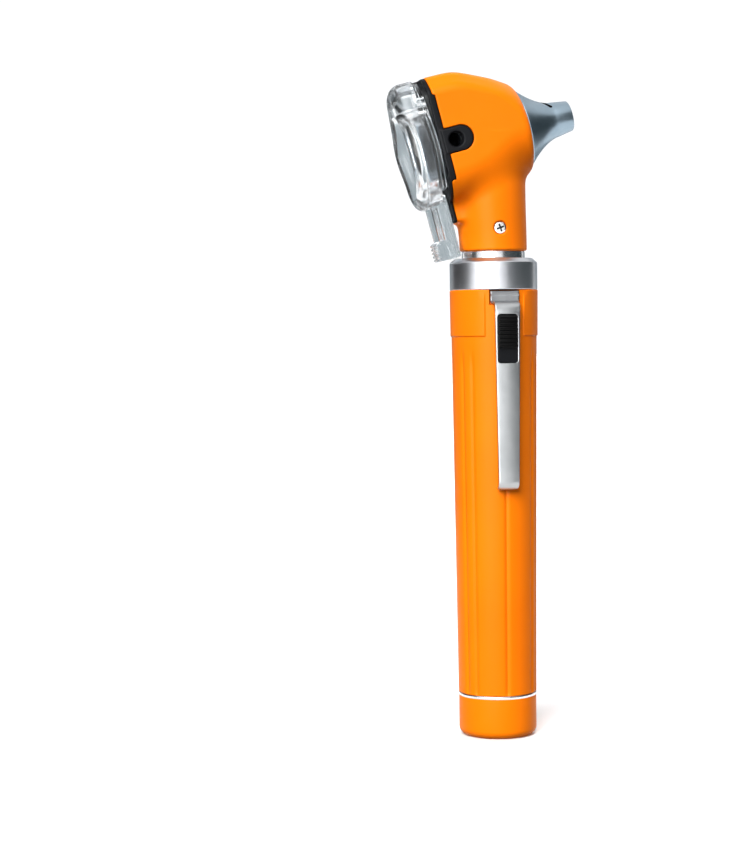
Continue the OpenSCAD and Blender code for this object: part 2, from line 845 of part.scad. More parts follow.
handle_body();
liner_tube();
top_collar();
contact_insulator();
battery_lower();
battery_upper();
contact_pin();
contact_spring();
clip();
switch_base();
switch_slider();
switch_contact();
cap_shell();
cap_plug();
cap_seal();
battery_spring();
bulb_base();
bulb_glass();
head_shell();
inner_body();
neck_tube();
lamp_socket();
speculum_cone();
instrument_tube();
fiber_ring();
fiber_bundle();
head_screw();
pivot_pin();
window_frame();
lens();
pivot_washer();
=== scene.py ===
"""Looks of a pocket otoscope: moulded orange handle and head, satin metal, clear window.

Shapes are worked out in millimetres and scaled to metres as each piece is made. The head's
pieces use its own axes: u along the optical axis, y across, v up and square to u.
"""

import json
from math import acos, asin, atan2, cos, hypot, pi, radians, sin, sqrt, tan

import bpy
import numpy as np
from mathutils import Matrix, Vector


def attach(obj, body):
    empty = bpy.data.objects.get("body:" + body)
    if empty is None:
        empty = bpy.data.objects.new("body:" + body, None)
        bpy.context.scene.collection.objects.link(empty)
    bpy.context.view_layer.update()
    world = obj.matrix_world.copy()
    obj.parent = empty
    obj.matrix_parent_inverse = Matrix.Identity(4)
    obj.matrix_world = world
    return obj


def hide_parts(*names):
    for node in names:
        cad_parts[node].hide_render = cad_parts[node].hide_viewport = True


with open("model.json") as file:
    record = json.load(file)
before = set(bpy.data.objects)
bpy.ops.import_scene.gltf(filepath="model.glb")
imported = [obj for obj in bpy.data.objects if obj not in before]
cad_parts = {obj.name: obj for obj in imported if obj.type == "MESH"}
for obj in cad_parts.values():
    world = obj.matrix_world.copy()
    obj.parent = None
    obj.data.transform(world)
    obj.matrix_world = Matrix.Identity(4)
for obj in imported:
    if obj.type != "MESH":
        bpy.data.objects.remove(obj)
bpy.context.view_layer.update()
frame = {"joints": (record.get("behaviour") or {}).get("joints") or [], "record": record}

MM = 0.001


# ---------------------------------------------------------------- frame ----

def joint(name):
    return next(j for j in frame["joints"] if j["name"] == name)


OPTICAL_AXIS = Vector(joint("window_swivel")["axis"]).normalized()
COS_T, SIN_T = OPTICAL_AXIS.x, OPTICAL_AXIS.z
PIVOT = Vector(joint("window_swivel")["pos_m"]) / MM
SEAT = next(m for m in frame["record"]["mounts"] if m["name"] == "speculum_seat")
SEAT_POS = Vector(SEAT["pos_m"]) / MM
AXIS_Z = SEAT_POS.z - SEAT_POS.x * SIN_T / COS_T
PIVOT_V = -PIVOT.x * SIN_T + (PIVOT.z - AXIS_Z) * COS_T
HEAD_TO_ROW = Matrix(((COS_T, 0, -SIN_T, 0), (0, 1, 0, 0), (SIN_T, 0, COS_T, AXIS_Z), (0, 0, 0, 1)))

CLIP_ROOT = Vector(joint("clip_flex")["pos_m"]) / MM
CLIP_ANGLE = atan2(CLIP_ROOT.y, CLIP_ROOT.x)
CLIP_TO_ROW = Matrix.Rotation(CLIP_ANGLE, 4, "Z")


# --------------------------------------------------------------- meshes ----

def add_mesh(name, points, faces, material=None):
    """Links a new object made of points in metres."""
    mesh = bpy.data.meshes.new(name)
    mesh.from_pydata(points, [], faces)
    obj = bpy.data.objects.new(name, mesh)
    bpy.context.scene.collection.objects.link(obj)
    if material is not None:
        mesh.materials.append(material)
    return obj


def placed(shape, place):
    """Points in metres and faces of a shape in millimetres, moved by a matrix."""
    points, faces = shape
    points = np.asarray(points, float)
    if place is not None:
        turn = np.array(place)
        points = points @ turn[:3, :3].T + turn[:3, 3]
    return (points * MM).tolist(), [list(f) for f in faces]


def piece(name, shape, material, body, stands_for, place=None, sharp=38):
    """Makes an object from a shape in millimetres and puts it on its body."""
    obj = add_mesh(name, *placed(shape, place))
    obj.data.validate()
    obj.data.materials.append(material)
    smooth(obj.data, sharp)
    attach(obj, body)
    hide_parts(*stands_for)
    return obj


def smooth(mesh, sharp=38):
    mesh.shade_smooth()
    mesh.set_sharp_from_angle(angle=radians(sharp))


def recolour(obj, material, chosen):
    """Gives a second material to the faces whose centre, in millimetres, is chosen."""
    obj.data.materials.append(material)
    for polygon in obj.data.polygons:
        if chosen(polygon.center / MM):
            polygon.material_index = 1


def modify(obj, kind, sharp=38, **settings):
    """Adds a modifier and applies it to the mesh."""
    modifier = obj.modifiers.new(kind, kind)
    for key, value in settings.items():
        setattr(modifier, key, value)
    bpy.context.view_layer.update()
    evaluated = obj.evaluated_get(bpy.context.evaluated_depsgraph_get())
    mesh = bpy.data.meshes.new_from_object(evaluated)
    obj.modifiers.clear()
    old = obj.data
    obj.data = mesh
    bpy.data.meshes.remove(old)
    smooth(obj.data, sharp)


def cut(obj, shape, place, sharp=38, walls=None):
    """Cuts a closed shape, given in millimetres, out of a piece; walls is the material left in the cut."""
    cutter = add_mesh("cutter", *placed(shape, place), walls)
    mesh = cutter.data
    modify(obj, "BOOLEAN", sharp, object=cutter, operation="DIFFERENCE", solver="EXACT",
           material_mode="TRANSFER" if walls is not None else "INDEX")
    bpy.data.objects.remove(cutter)
    bpy.data.meshes.remove(mesh)


def grid_faces(rows, columns, closed_rows=False, closed_columns=False):
    """Quads between the points of a grid, row by row."""
    faces = []
    for i in range(rows if closed_rows else rows - 1):
        for j in range(columns if closed_columns else columns - 1):
            a, b = i, (i + 1) % rows
            c, d = j, (j + 1) % columns
            faces.append((a * columns + c, a * columns + d, b * columns + d, b * columns + c))
    return faces


def rounded(corners, radii, steps=6):
    """A closed outline with its corners rounded."""
    corners = [np.array(c, float) for c in corners]
    count = len(corners)
    outline = []
    for i, corner in enumerate(corners):
        radius = radii[i] if isinstance(radii, (list, tuple)) else radii
        back, ahead = corners[i - 1] - corner, corners[(i + 1) % count] - corner
        back_len, ahead_len = np.linalg.norm(back), np.linalg.norm(ahead)
        if radius <= 0 or min(back_len, ahead_len) < 1e-9:
            outline.append(corner)
            continue
        back, ahead = back / back_len, ahead / ahead_len
        half = acos(np.clip(back @ ahead, -1, 1)) / 2
        if half > radians(88):
            outline.append(corner)
            continue
        reach = min(radius / tan(half), 0.49 * back_len, 0.49 * ahead_len)
        radius = reach * tan(half)
        centre = corner + (back + ahead) / np.linalg.norm(back + ahead) * radius / sin(half)
        start = corner + back * reach - centre
        end = corner + ahead * reach - centre
        turn = atan2(start[0] * end[1] - start[1] * end[0], start @ end)
        for k in range(steps + 1):
            a = turn * k / steps
            rot = np.array([[cos(a), -sin(a)], [sin(a), cos(a)]])
            outline.append(centre + rot @ start)
    return outline


def around(count):
    return 2 * pi * np.arange(count) / count


def circle(radius, height, angles):
    return np.stack([radius * np.cos(angles), radius * np.sin(angles), np.full(len(angles), height)], 1)


def turned(outline, segments=128):
    """Points and faces of a closed outline of (radius, height) turned about the Z axis."""
    outline = np.array(outline, float)
    on_axis = outline[:, 0] < 1e-6
    angles = around(segments)
    if not on_axis.any():
        points = [circle(r, z, angles) for r, z in outline]
        return np.concatenate(points), grid_faces(len(outline), segments, True, True)
    # Starts on the axis, runs outside and ends on the axis
    start = int(np.argmax(on_axis & ~np.roll(on_axis, -1)))
    outline = np.roll(outline, -start, 0)
    inner = outline[1:]
    inner = inner[inner[:, 0] >= 1e-6]
    rings = [circle(r, z, angles) for r, z in inner]
    points = [[[0, 0, outline[0][1]]], *rings, [[0, 0, outline[len(inner) + 1][1]]]]
    faces = [tuple(f + 1 for f in face) for face in grid_faces(len(inner), segments, False, True)]
    last = len(inner) * segments + 1
    for i in range(segments):
        j = (i + 1) % segments
        faces.append((0, 1 + j, 1 + i))
        faces.append((last, last - segments + i, last - segments + j))
    return np.concatenate(points), faces


def prism(outline, low, high):
    """Points and faces of a closed outline in the first two axes, extruded along the third."""
    count = len(outline)
    points = [[p[0], p[1], low] for p in outline] + [[p[0], p[1], high] for p in outline]
    faces = [(i, (i + 1) % count, (i + 1) % count + count, i + count) for i in range(count)]
    return points, faces + [tuple(range(count))[::-1], tuple(range(count, 2 * count))]


def box_outline(low, high, half):
    return [(low, -half), (high, -half), (high, half), (low, half)]


def rod_faces(rows, sides):
    """Wall and end faces of a rod made of rings of points."""
    last = (rows - 1) * sides
    ends = [tuple(range(sides))[::-1], tuple(last + i for i in range(sides))]
    return grid_faces(rows, sides, False, True), ends


def smoothstep(x):
    x = np.clip(x, 0, 1)
    return x * x * (3 - 2 * x)


def fine_lines(low, high, step, marks, reach, fine):
    """Grid lines from low to high, closer together around each mark."""
    lines = list(np.arange(low, high, step)) + [high]
    for mark in marks:
        lines += list(np.arange(mark - reach, mark + reach + fine / 2, fine))
    lines = sorted(x for x in lines if low <= x <= high)
    kept = [lines[0]]
    for x in lines[1:]:
        if x - kept[-1] > fine * 0.4:
            kept.append(x)
    kept[-1] = high
    return np.array(kept)


# ------------------------------------------------------- implicit solids ----

def soft_min(a, b, k):
    h = np.clip(0.5 + 0.5 * (b - a) / k, 0, 1)
    return b + (a - b) * h - k * h * (1 - h)


def soft_max(a, b, k):
    return -soft_min(-a, -b, k)


def iso_mesh(field, low, high, cell):
    """Surface of field = 0, negative inside, as quads with their points drawn onto the surface."""
    low, high = np.array(low, float), np.array(high, float)
    count = np.ceil((high - low) / cell).astype(int) + 1
    axes = [low[k] + cell * np.arange(count[k]) for k in range(3)]
    values = field(*np.meshgrid(*axes, indexing="ij"))
    inside = values < 0
    shifts = [(i, j, k) for i in (0, 1) for j in (0, 1) for k in (0, 1)]

    def corner(array, shift):
        return array[tuple(slice(s, n - 1 + s) for s, n in zip(shift, count))]

    corners_in = sum(corner(inside, s).astype(np.int8) for s in shifts)
    mixed = (corners_in > 0) & (corners_in < 8)
    index = np.full(mixed.shape, -1, np.int64)
    index[mixed] = np.arange(int(mixed.sum()))
    cells = np.argwhere(mixed)
    total = np.zeros((len(cells), 3))
    crossings = np.zeros(len(cells))
    for axis in range(3):
        for shift in (s for s in shifts if s[axis] == 0):
            other = tuple(1 if k == axis else shift[k] for k in range(3))
            a = corner(values, shift)[mixed]
            b = corner(values, other)[mixed]
            crosses = (a < 0) != (b < 0)
            t = np.where(crosses, a / np.where(a == b, 1, a - b), 0)
            place = np.tile(np.array(shift, float), (len(cells), 1))
            place[:, axis] += t
            total += np.where(crosses[:, None], place, 0)
            crossings += crosses
    points = low + (cells + total / crossings[:, None]) * cell
    nudge = cell * 0.05
    for _ in range(3):
        value = field(*points.T)
        slope = np.stack([(field(*(points + shift).T) - field(*(points - shift).T)) / (2 * nudge)
                          for shift in nudge * np.eye(3)], 1)
        step = slope * (value / np.maximum((slope ** 2).sum(1), 0.2))[:, None]
        length = np.linalg.norm(step, axis=1, keepdims=True)
        points -= step * np.minimum(1, 0.5 * cell / np.maximum(length, 1e-9))
    faces = []
    for axis in range(3):
        b, c = (axis + 1) % 3, (axis + 2) % 3
        here = [slice(1, -1)] * 3
        here[axis] = slice(0, -1)
        ahead = list(here)
        ahead[axis] = slice(1, None)
        starts = inside[tuple(here)]
        crosses = starts != inside[tuple(ahead)]
        at = np.argwhere(crosses) + [0 if k == axis else 1 for k in range(3)]
        outward = starts[crosses]
        quad = []
        for db, dc in ((0, 0), (1, 0), (1, 1), (0, 1)):
            cell_at = at.copy()
            cell_at[:, b] -= db
            cell_at[:, c] -= dc
            quad.append(index[tuple(cell_at.T)])
        quad = np.stack(quad, 1)
        quad[~outward] = quad[~outward][:, ::-1]
        faces.append(quad)
    return points, np.concatenate(faces).tolist()


# ------------------------------------------------------------ materials ----

def new_material(name):
    material = bpy.data.materials.new(name)
    material.use_nodes = True
    tree = material.node_tree
    return material, tree, tree.nodes["Principled BSDF"]


def preset(node, values):
    for name, value in values.items():
        node.inputs[name].default_value = value


def opaque(colour):
    return (*colour, 1)


def object_coords(tree, scale=(1, 1, 1)):
    coords = tree.nodes.new("ShaderNodeTexCoord")
    mapping = tree.nodes.new("ShaderNodeMapping")
    preset(mapping, {"Scale": scale})
    tree.links.new(coords.outputs["Object"], mapping.inputs["Vector"])
    return mapping.outputs["Vector"]


def noise(tree, vector, scale, detail=3.0, roughness=0.5):
    node = tree.nodes.new("ShaderNodeTexNoise")
    preset(node, {"Scale": scale, "Detail": detail, "Roughness": roughness})
    tree.links.new(vector, node.inputs["Vector"])
    return node.outputs["Fac"]


def ramp(tree, value, low, high):
    """Colour that runs from low to high over the middle of the value's range."""
    node = tree.nodes.new("ShaderNodeValToRGB")
    for element, position, colour in zip(node.color_ramp.elements, (0.3, 0.7), (low, high)):
        element.position, element.color = position, opaque(colour)
    tree.links.new(value, node.inputs["Fac"])
    return node.outputs["Color"]


def remap(tree, value, low, high):
    node = tree.nodes.new("ShaderNodeMapRange")
    preset(node, {"To Min": low, "To Max": high})
    tree.links.new(value, node.inputs["Value"])
    return node.outputs["Result"]


def bump(tree, shader, height, strength, distance):
    node = tree.nodes.new("ShaderNodeBump")
    preset(node, {"Strength": strength, "Distance": distance})
    tree.links.new(height, node.inputs["Height"])
    tree.links.new(node.outputs["Normal"], shader.inputs["Normal"])


def moulded_plastic(name, deep, light, rough_low, rough_high, specular=0.5):
    """Moulded plastic: slow drift of tone, uneven gloss and a fine grain."""
    material, tree, shader = new_material(name)
    vector = object_coords(tree)
    drift = noise(tree, vector, 45, 2)
    tree.links.new(ramp(tree, drift, deep, light), shader.inputs["Base Color"])
    gloss = noise(tree, vector, 420, 4)
    tree.links.new(remap(tree, gloss, rough_low, rough_high), shader.inputs["Roughness"])
    bump(tree, shader, noise(tree, vector, 2600, 2), 0.35, 0.00002)
    preset(shader, {"IOR": 1.5, "Specular IOR Level": specular})
    return material


def metal(name, deep, light, rough_low, rough_high, stretch=(1, 1, 1), scale=900, depth=0.000004):
    """Metal with a brushed or blasted grain; stretch lays the grain along an axis."""
    material, tree, shader = new_material(name)
    vector = object_coords(tree, stretch)
    grain = noise(tree, vector, scale, 5, 0.6)
    blotch = noise(tree, object_coords(tree), 120, 3)
    tree.links.new(ramp(tree, blotch, deep, light), shader.inputs["Base Color"])
    tree.links.new(remap(tree, grain, rough_low, rough_high), shader.inputs["Roughness"])
    bump(tree, shader, grain, 0.3, depth)
    preset(shader, {"Metallic": 1})
    return material


def clear_plastic(name, tint, roughness, ior=1.49):
    """Clear acrylic with faint flow marks in its skin."""
    material, tree, shader = new_material(name)
    vector = object_coords(tree)
    preset(shader, {"Base Color": opaque(tint), "Transmission Weight": 1, "IOR": ior})
    marks = noise(tree, vector, 90, 2)
    tree.links.new(remap(tree, marks, roughness, roughness * 2.5), shader.inputs["Roughness"])
    bump(tree, shader, noise(tree, vector, 260, 2), 0.06, 0.00005)
    return material


def ringed_plastic(name, deep, light):
    """Cell sleeve: dark body with a lighter band at its lower third."""
    material, tree, shader = new_material(name)
    coords = tree.nodes.new("ShaderNodeTexCoord")
    split = tree.nodes.new("ShaderNodeSeparateXYZ")
    tree.links.new(coords.outputs["Generated"], split.inputs["Vector"])
    node = tree.nodes.new("ShaderNodeValToRGB")
    node.color_ramp.interpolation = "CONSTANT"
    band, body = node.color_ramp.elements
    band.color = opaque(light)
    body.position, body.color = 0.3, opaque(deep)
    tree.links.new(split.outputs["Z"], node.inputs["Fac"])
    tree.links.new(node.outputs["Color"], shader.inputs["Base Color"])
    vector = object_coords(tree)
    tree.links.new(remap(tree, noise(tree, vector, 300, 3), 0.25, 0.4), shader.inputs["Roughness"])
    preset(shader, {"Metallic": 0.4})
    return material


ORANGE = moulded_plastic("orange_plastic", (0.93, 0.218, 0.0003), (0.96, 0.24, 0.0005), 0.33, 0.43, 0.1)
BLACK = moulded_plastic("black_plastic", (0.004, 0.0045, 0.006), (0.007, 0.008, 0.01), 0.36, 0.5, 0.16)
SLIDER_BLACK = moulded_plastic("slider_plastic", (0.002, 0.002, 0.002), (0.004, 0.004, 0.004), 0.4, 0.5, 0.15)
SATIN = metal("satin_chrome", (0.5, 0.51, 0.535), (0.58, 0.59, 0.61), 0.27, 0.35)
BRIGHT = metal("bright_chrome", (0.66, 0.66, 0.67), (0.75, 0.75, 0.76), 0.17, 0.25)
BRUSHED = metal("brushed_clip", (0.36, 0.37, 0.375), (0.45, 0.46, 0.465), 0.28, 0.38, (60, 60, 1), 60)
SPRING = metal("spring_steel", (0.2, 0.2, 0.21), (0.4, 0.41, 0.42), 0.24, 0.38, (260, 260, 30), 9)
BRASS = metal("brass", (0.62, 0.42, 0.14), (0.78, 0.56, 0.22), 0.2, 0.32)
SCREW = metal("screw_steel", (0.75, 0.74, 0.72), (0.86, 0.85, 0.83), 0.14, 0.24)
# Near-black metal left on the walls of cuts: painted shade in the screw's cross recess and in the cone's slot
RECESS_SHADE = metal("painted_recess_shade", (0.03, 0.03, 0.032), (0.06, 0.06, 0.062), 0.45, 0.6)
CONE = metal("satin_cone", (0.25, 0.32, 0.38), (0.33, 0.41, 0.47), 0.28, 0.36)
RUBBER = moulded_plastic("rubber", (0.01, 0.01, 0.01), (0.018, 0.018, 0.018), 0.6, 0.8)
CELL = ringed_plastic("cell_sleeve", (0.02, 0.022, 0.026), (0.5, 0.32, 0.1))
ACRYLIC = clear_plastic("clear_acrylic", (0.9, 0.93, 0.945), 0.1)
# Dark blue-grey tint of the magnifier: painted shade standing in for the dark head body seen through the lens
LENS = clear_plastic("lens_acrylic", (0.42, 0.5, 0.57), 0.02)
GLASS = clear_plastic("lamp_glass", (0.98, 0.99, 1), 0.004, 1.5)
FIBRE = clear_plastic("optical_fibre", (0.9, 0.94, 0.92), 0.2, 1.55)


# ------------------------------------------------------------- profiles ----

def profile(*corners, steps=6):
    """Closed outline of (radius, height) corners, each with an optional rounding."""
    return rounded([c[:2] for c in corners], [c[2] if len(c) > 2 else 0 for c in corners], steps)


def length2(a, b):
    return np.sqrt(a * a + b * b)


def rounded_both(a, b, radius):
    """Intersection of two solids whose common edge is rounded."""
    a, b = a + radius, b + radius
    return length2(np.maximum(a, 0), np.maximum(b, 0)) + np.minimum(np.maximum(a, b), 0) - radius


def uneven_capsule(y, v, low_r, low_v, high_r, high_v):
    """Distance to the outline around two circles on one upright line, the first one wider."""
    span = abs(high_v - low_v)
    y, v = np.abs(y), (v - low_v) * (1 if high_v > low_v else -1)
    lean = (low_r - high_r) / span
    rise = sqrt(1 - lean * lean)
    k = -lean * y + rise * v
    return np.where(k < 0, length2(y, v) - low_r,
                    np.where(k > rise * span, length2(y, v - span) - high_r, rise * y + lean * v - low_r))


def round_box(a, b, half_a, half_b, radius):
    """Distance to a rectangle with rounded corners."""
    return rounded_both(np.abs(a) - half_a, np.abs(b) - half_b, radius)


def slab(x, low, high):
    return np.maximum(low - x, x - high)


def line_distance(a, b, points):
    """Distance to a chain of straight segments."""
    best = np.full(np.shape(a), 1e9)
    for (a0, b0), (a1, b1) in zip(points, points[1:]):
        da, db = a1 - a0, b1 - b0
        t = np.clip(((a - a0) * da + (b - b0) * db) / (da * da + db * db), 0, 1)
        best = np.minimum(best, length2(a - a0 - t * da, b - b0 - t * db))
    return best


def outline_distance(a, b, corners):
    """Distance to a closed outline, negative inside."""
    loop = list(corners) + [corners[0]]
    inside = np.zeros(np.shape(a), bool)
    for (a0, b0), (a1, b1) in zip(loop, loop[1:]):
        if b0 != b1:
            inside ^= ((b0 > b) != (b1 > b)) & (a < (a1 - a0) * (b - b0) / (b1 - b0) + a0)
    return np.where(inside, -1, 1) * line_distance(a, b, loop)


def to_row(u, v):
    """X and Z, in millimetres, of a place in the head's plane."""
    return COS_T * u - SIN_T * v, AXIS_Z + SIN_T * u + COS_T * v


def sleeve(heights, angles, outer, inner):
    """Closed tube whose outer radius varies with angle and height; inner runs from its top to its bottom."""
    a, z = np.meshgrid(angles, heights)
    r = outer(a, z)
    points = [np.stack([r * np.cos(a), r * np.sin(a), z], -1).reshape(-1, 3)]
    points += [circle(radius, height, angles) for radius, height in inner]
    return np.concatenate(points), grid_faces(len(heights) + len(inner), len(angles), True, True)


def coil(low, high, mean_r, wire_r, turns, sides=20, per_turn=72):
    """Coil spring of round wire with closed ends."""
    count = int(turns * per_turn)
    t = np.arange(count + 1) / count
    climb = np.clip((t * turns - 0.75) / (turns - 1.5), 0, 1)
    a = t * turns * 2 * pi
    z = low + wire_r + (high - low - 2 * wire_r) * climb
    side = around(sides)
    reach = mean_r + wire_r * np.cos(side)[None, :]
    points = np.stack([reach * np.cos(a)[:, None], reach * np.sin(a)[:, None],
                       z[:, None] + wire_r * np.sin(side)[None, :]], -1).reshape(-1, 3)
    walls, ends = rod_faces(count + 1, sides)
    return points, [f[::-1] for f in walls] + ends


def thread(z, angle, low, high, pitch, root, crest):
    """Radius of a screw thread at a height and an angle, fading out at both ends."""
    phase = np.mod(z / pitch - angle / (2 * pi), 1)
    tooth = np.clip(1.55 - np.abs(phase - 0.5) * 4.6, 0, 1)
    fade = smoothstep((z - low) / (0.7 * pitch)) * smoothstep((high - z) / (0.7 * pitch))
    return root + (crest - root) * tooth * fade


# --------------------------------------------------------------- handle ----

TUBE_LOW_Z, TUBE_TOP_Z = 10.7, 110.2
TUBE_R_LOW, TUBE_R_TOP, BORE_R = 9.65, 10.6, 7.77
COLLAR_SEAT_Z, WIPER_SLOT_HALF = 104.2, 1.7
BAND_Z, BAND_PROUD, BAND_GAP = 98.9, 0.25, 4.8
ROOT_W, ROOT_SEAT_R, ROOT_LOW_Z = 7.2, 9.45, 106.55
FLUTES = [radians(a) for a in (-64, -47, 0, 47, 64)]
FLUTE_DEPTH = 0.36


def handle_radius(angle, z):
    from_clip = np.mod(angle - CLIP_ANGLE + pi, 2 * pi) - pi
    r = TUBE_R_LOW + (TUBE_R_TOP - TUBE_R_LOW) * (z - TUBE_LOW_Z) / (TUBE_TOP_Z - TUBE_LOW_Z)
    side = r * np.sin(np.clip(from_clip, -1.5, 1.5))
    # Raised band, open behind the clip with its upper corners rounded off
    corner = np.clip((z - (TUBE_TOP_Z - 2)) / 2, 0, 1)
    gap = BAND_GAP + 1.6 * (1 - np.sqrt(1 - corner * corner))
    band = smoothstep((z - BAND_Z) / 0.4 + 0.5) * smoothstep((np.abs(side) - gap) / 0.35 + 0.5)
    groove = np.zeros_like(r)
    for flute in FLUTES:
        across = (np.mod(from_clip - flute + pi, 2 * pi) - pi) * r
        groove = np.maximum(groove, np.exp(-np.abs(across / 0.5) ** 1.7))
    groove *= smoothstep((BAND_Z - 2.2 - z) / 6) * smoothstep((z - TUBE_LOW_Z + 0.2) / 0.8)
    r = r + BAND_PROUD * band - FLUTE_DEPTH * groove
    # Seat of the clip's root
    seat = smoothstep((ROOT_W / 2 + 0.2 - np.abs(side)) / 0.16 + 0.5)
    seat = seat * smoothstep((z - ROOT_LOW_Z) / 0.16 + 0.5)
    r = r + (np.minimum(ROOT_SEAT_R, r) - r) * seat
    for edge, size in ((TUBE_TOP_Z - z, 0.3), (z - TUBE_LOW_Z, 0.25)):
        t = 1 - np.clip(edge / size, 0, 1)
        r = r - size * (1 - np.sqrt(1 - t * t))
    return r


def handle_lines():
    heights = fine_lines(TUBE_LOW_Z, TUBE_TOP_Z, 1.1, (BAND_Z, ROOT_LOW_Z), 0.45, 0.05)
    ends = [0.02, 0.06, 0.12, 0.2, 0.3, 0.4]
    heights = sorted(set(heights) | {TUBE_TOP_Z - e for e in ends} | {TUBE_LOW_Z + e for e in ends})
    heights = np.array([h for i, h in enumerate(heights) if i == 0 or h - heights[i - 1] > 0.004])
    marks = [asin((ROOT_W / 2 + 0.2) / TUBE_R_TOP), asin(BAND_GAP / TUBE_R_TOP)]
    marks = [-m for m in marks] + marks
    angles = fine_lines(-pi, pi, 2 * pi / 110, marks, 0.04, 0.006)
    angles = sorted(set(angles) | {f + k * 0.012 for f in FLUTES for k in range(-9, 10)})
    angles = [a for i, a in enumerate(angles) if i == 0 or a - angles[i - 1] > 0.003]
    return heights, np.array(angles[:-1]) + CLIP_ANGLE


shape = sleeve(*handle_lines(), handle_radius, [
    (TUBE_R_TOP - 0.6, TUBE_TOP_Z), (8.95, TUBE_TOP_Z), (8.77, TUBE_TOP_Z - 0.18), (8.77, COLLAR_SEAT_Z),
    (BORE_R, COLLAR_SEAT_Z), (BORE_R, 17), (8.43, 17), (8.43, TUBE_LOW_Z + 0.15), (8.58, TUBE_LOW_Z),
    (TUBE_R_LOW - 0.35, TUBE_LOW_Z)])
handle = piece("handle_tube", shape, ORANGE, "handle", ["handle_body"])
cut(handle, prism(box_outline(6.7, 12.7, WIPER_SLOT_HALF), 93, COLLAR_SEAT_Z), CLIP_TO_ROW)

shape = turned(profile((7.4, 16.85), (7.75, 16.85, 0.1), (7.75, 109, 0.1), (7.4, 109)), 96)
liner = piece("cell_liner", shape, BRIGHT, "handle", ["liner_tube"])
cut(liner, prism(box_outline(6.7, 9.7, WIPER_SLOT_HALF), 96.4, COLLAR_SEAT_Z), CLIP_TO_ROW)

COLLAR_R, COLLAR_TOP_Z = 10.8, 117.2
collar_profile = profile(
    (7.45, 109.8), (7.8, 109.8), (7.8, 104.3), (8.75, 104.3), (8.75, 110.22, 0.05), (COLLAR_R, 110.22, 0.2),
    (COLLAR_R, 116.9, 0.7), (COLLAR_R - 1.3, COLLAR_TOP_Z + 0.75, 0.5), (8.3, COLLAR_TOP_Z + 0.75, 0.2),
    (8.1, COLLAR_TOP_Z, 0.1), (7.4, COLLAR_TOP_Z - 0.05, 0.1))
shape = turned(collar_profile, 160)
piece("neck_collar", shape, SATIN, "handle", ["top_collar"])

# ------------------------------------------------------------- end cap ----

CAP_R, CAP_H = 9.6, 9.9
cap_profile = profile(
    (0, 0), (CAP_R, 0, 2), (CAP_R, CAP_H, 0.2), (8.15, CAP_H, 0.1), (8.15, 1.8, 0.4), (0, 1.8), steps=10)
shape = turned(cap_profile, 160)
piece("end_cap", shape, ORANGE, "cap", ["cap_shell"])


def plug_radius(angle, z):
    r = thread(z, angle, 11.3, 16.6, 1.5, 7.9, 8.35)
    r = r + 0.18 * smoothstep((CAP_H - z) / 0.06 + 0.5)
    ring = smoothstep((z - CAP_H) / 0.03) * smoothstep((TUBE_LOW_Z - z) / 0.03)
    soft = 0.12 * np.abs((z - CAP_H - 0.4) / 0.4) ** 4
    r = r + (9.7 - soft - r) * ring
    return r


plug_heights = np.unique(np.concatenate([
    [4, 4.1, 9.8, CAP_H], CAP_H + np.array([0.03, 0.06, 0.12, 0.25, 0.4, 0.55, 0.68, 0.74, 0.77, 0.8]),
    np.arange(10.9, 16.7, 0.1)]))
shape = sleeve(plug_heights, around(160), plug_radius,
               [(7.6, 16.7), (7.25, 16.5), (7.25, 4.2), (7.45, 4)])
piece("cap_ring", shape, BRIGHT, "cap", ["cap_plug"])

shape = turned([(7.4 + 0.6 * cos(a), 3.2 + 0.6 * sin(a))
                for a in around(20)], 96)
piece("seal_ring", shape, RUBBER, "cap", ["cap_seal"])

shape = coil(1.85, 6.95, 4.2, 0.45, 4)
piece("cell_spring", shape, SPRING, "cap_carrier", ["battery_spring"])


# ---------------------------------------------------- cells and contact ----

def cell_points(low):
    top = low + 50.5
    can = top - 1.2
    return turned(profile(
        (0, low + 0.2), (5.6, low + 0.2, 0.2), (5.9, low, 0.1), (6.5, low, 0.3), (7, low + 0.7, 0.3),
        (7, can - 0.7, 0.3), (6.4, can + 0.05, 0.2), (5.9, can + 0.05, 0.1), (5.6, can - 0.15, 0.1),
        (3.1, can - 0.15, 0.1), (2.75, can + 0.1, 0.1), (2.75, top, 0.35), (0, top)), 96)


for name, low in (("battery_lower", 7.0), ("battery_upper", 57.5)):
    shape = cell_points(low)
    piece("cell_" + name[8:], shape, CELL, "handle", [name])

shape = turned(profile((2.5, 108.9), (7.35, 108.9, 0.2), (7.35, 112.4, 0.2), (1.3, 112.4, 0.1), (1.3, 111.1),
                       (2.5, 111.1)), 96)
piece("contact_holder", shape, BLACK, "handle", ["contact_insulator"])
shape = turned(profile((0, 109.2), (1.2, 109.2, 0.25), (1.2, 110.4), (2.2, 110.4, 0.1), (2.2, 111, 0.15),
                       (1.22, 111), (1.22, 113.1, 0.2), (0.7, 113.6, 0.3), (0, 113.6)), 64)
piece("centre_contact", shape, BRASS, "plunger", ["contact_pin"])
shape = coil(108.05, 110.35, 1.75, 0.25, 3)
piece("contact_coil", shape, SPRING, "handle", ["contact_spring"])

# ------------------------------------------------------ clip and switch ----

CLIP_T, CLIP_FACE_R, CLIP_TOP_Z, CLIP_LOW_Z, CLIP_BEND = 0.7, 12.9, 107.4, 61.5, 1.85
SLOT_TOP_Z, SLOT_LOW_Z, SLOT_HALF = 104.2, 92.4, 2.5
STEM_SLOT_Z, STEM_Z = 99.4, 101.1


def arc_points(centre, radius, start, end, steps):
    angles = [radians(start + (end - start) * i / steps) for i in range(steps + 1)]
    return [(centre[0] + radius * cos(a), centre[1] + radius * sin(a)) for a in angles]


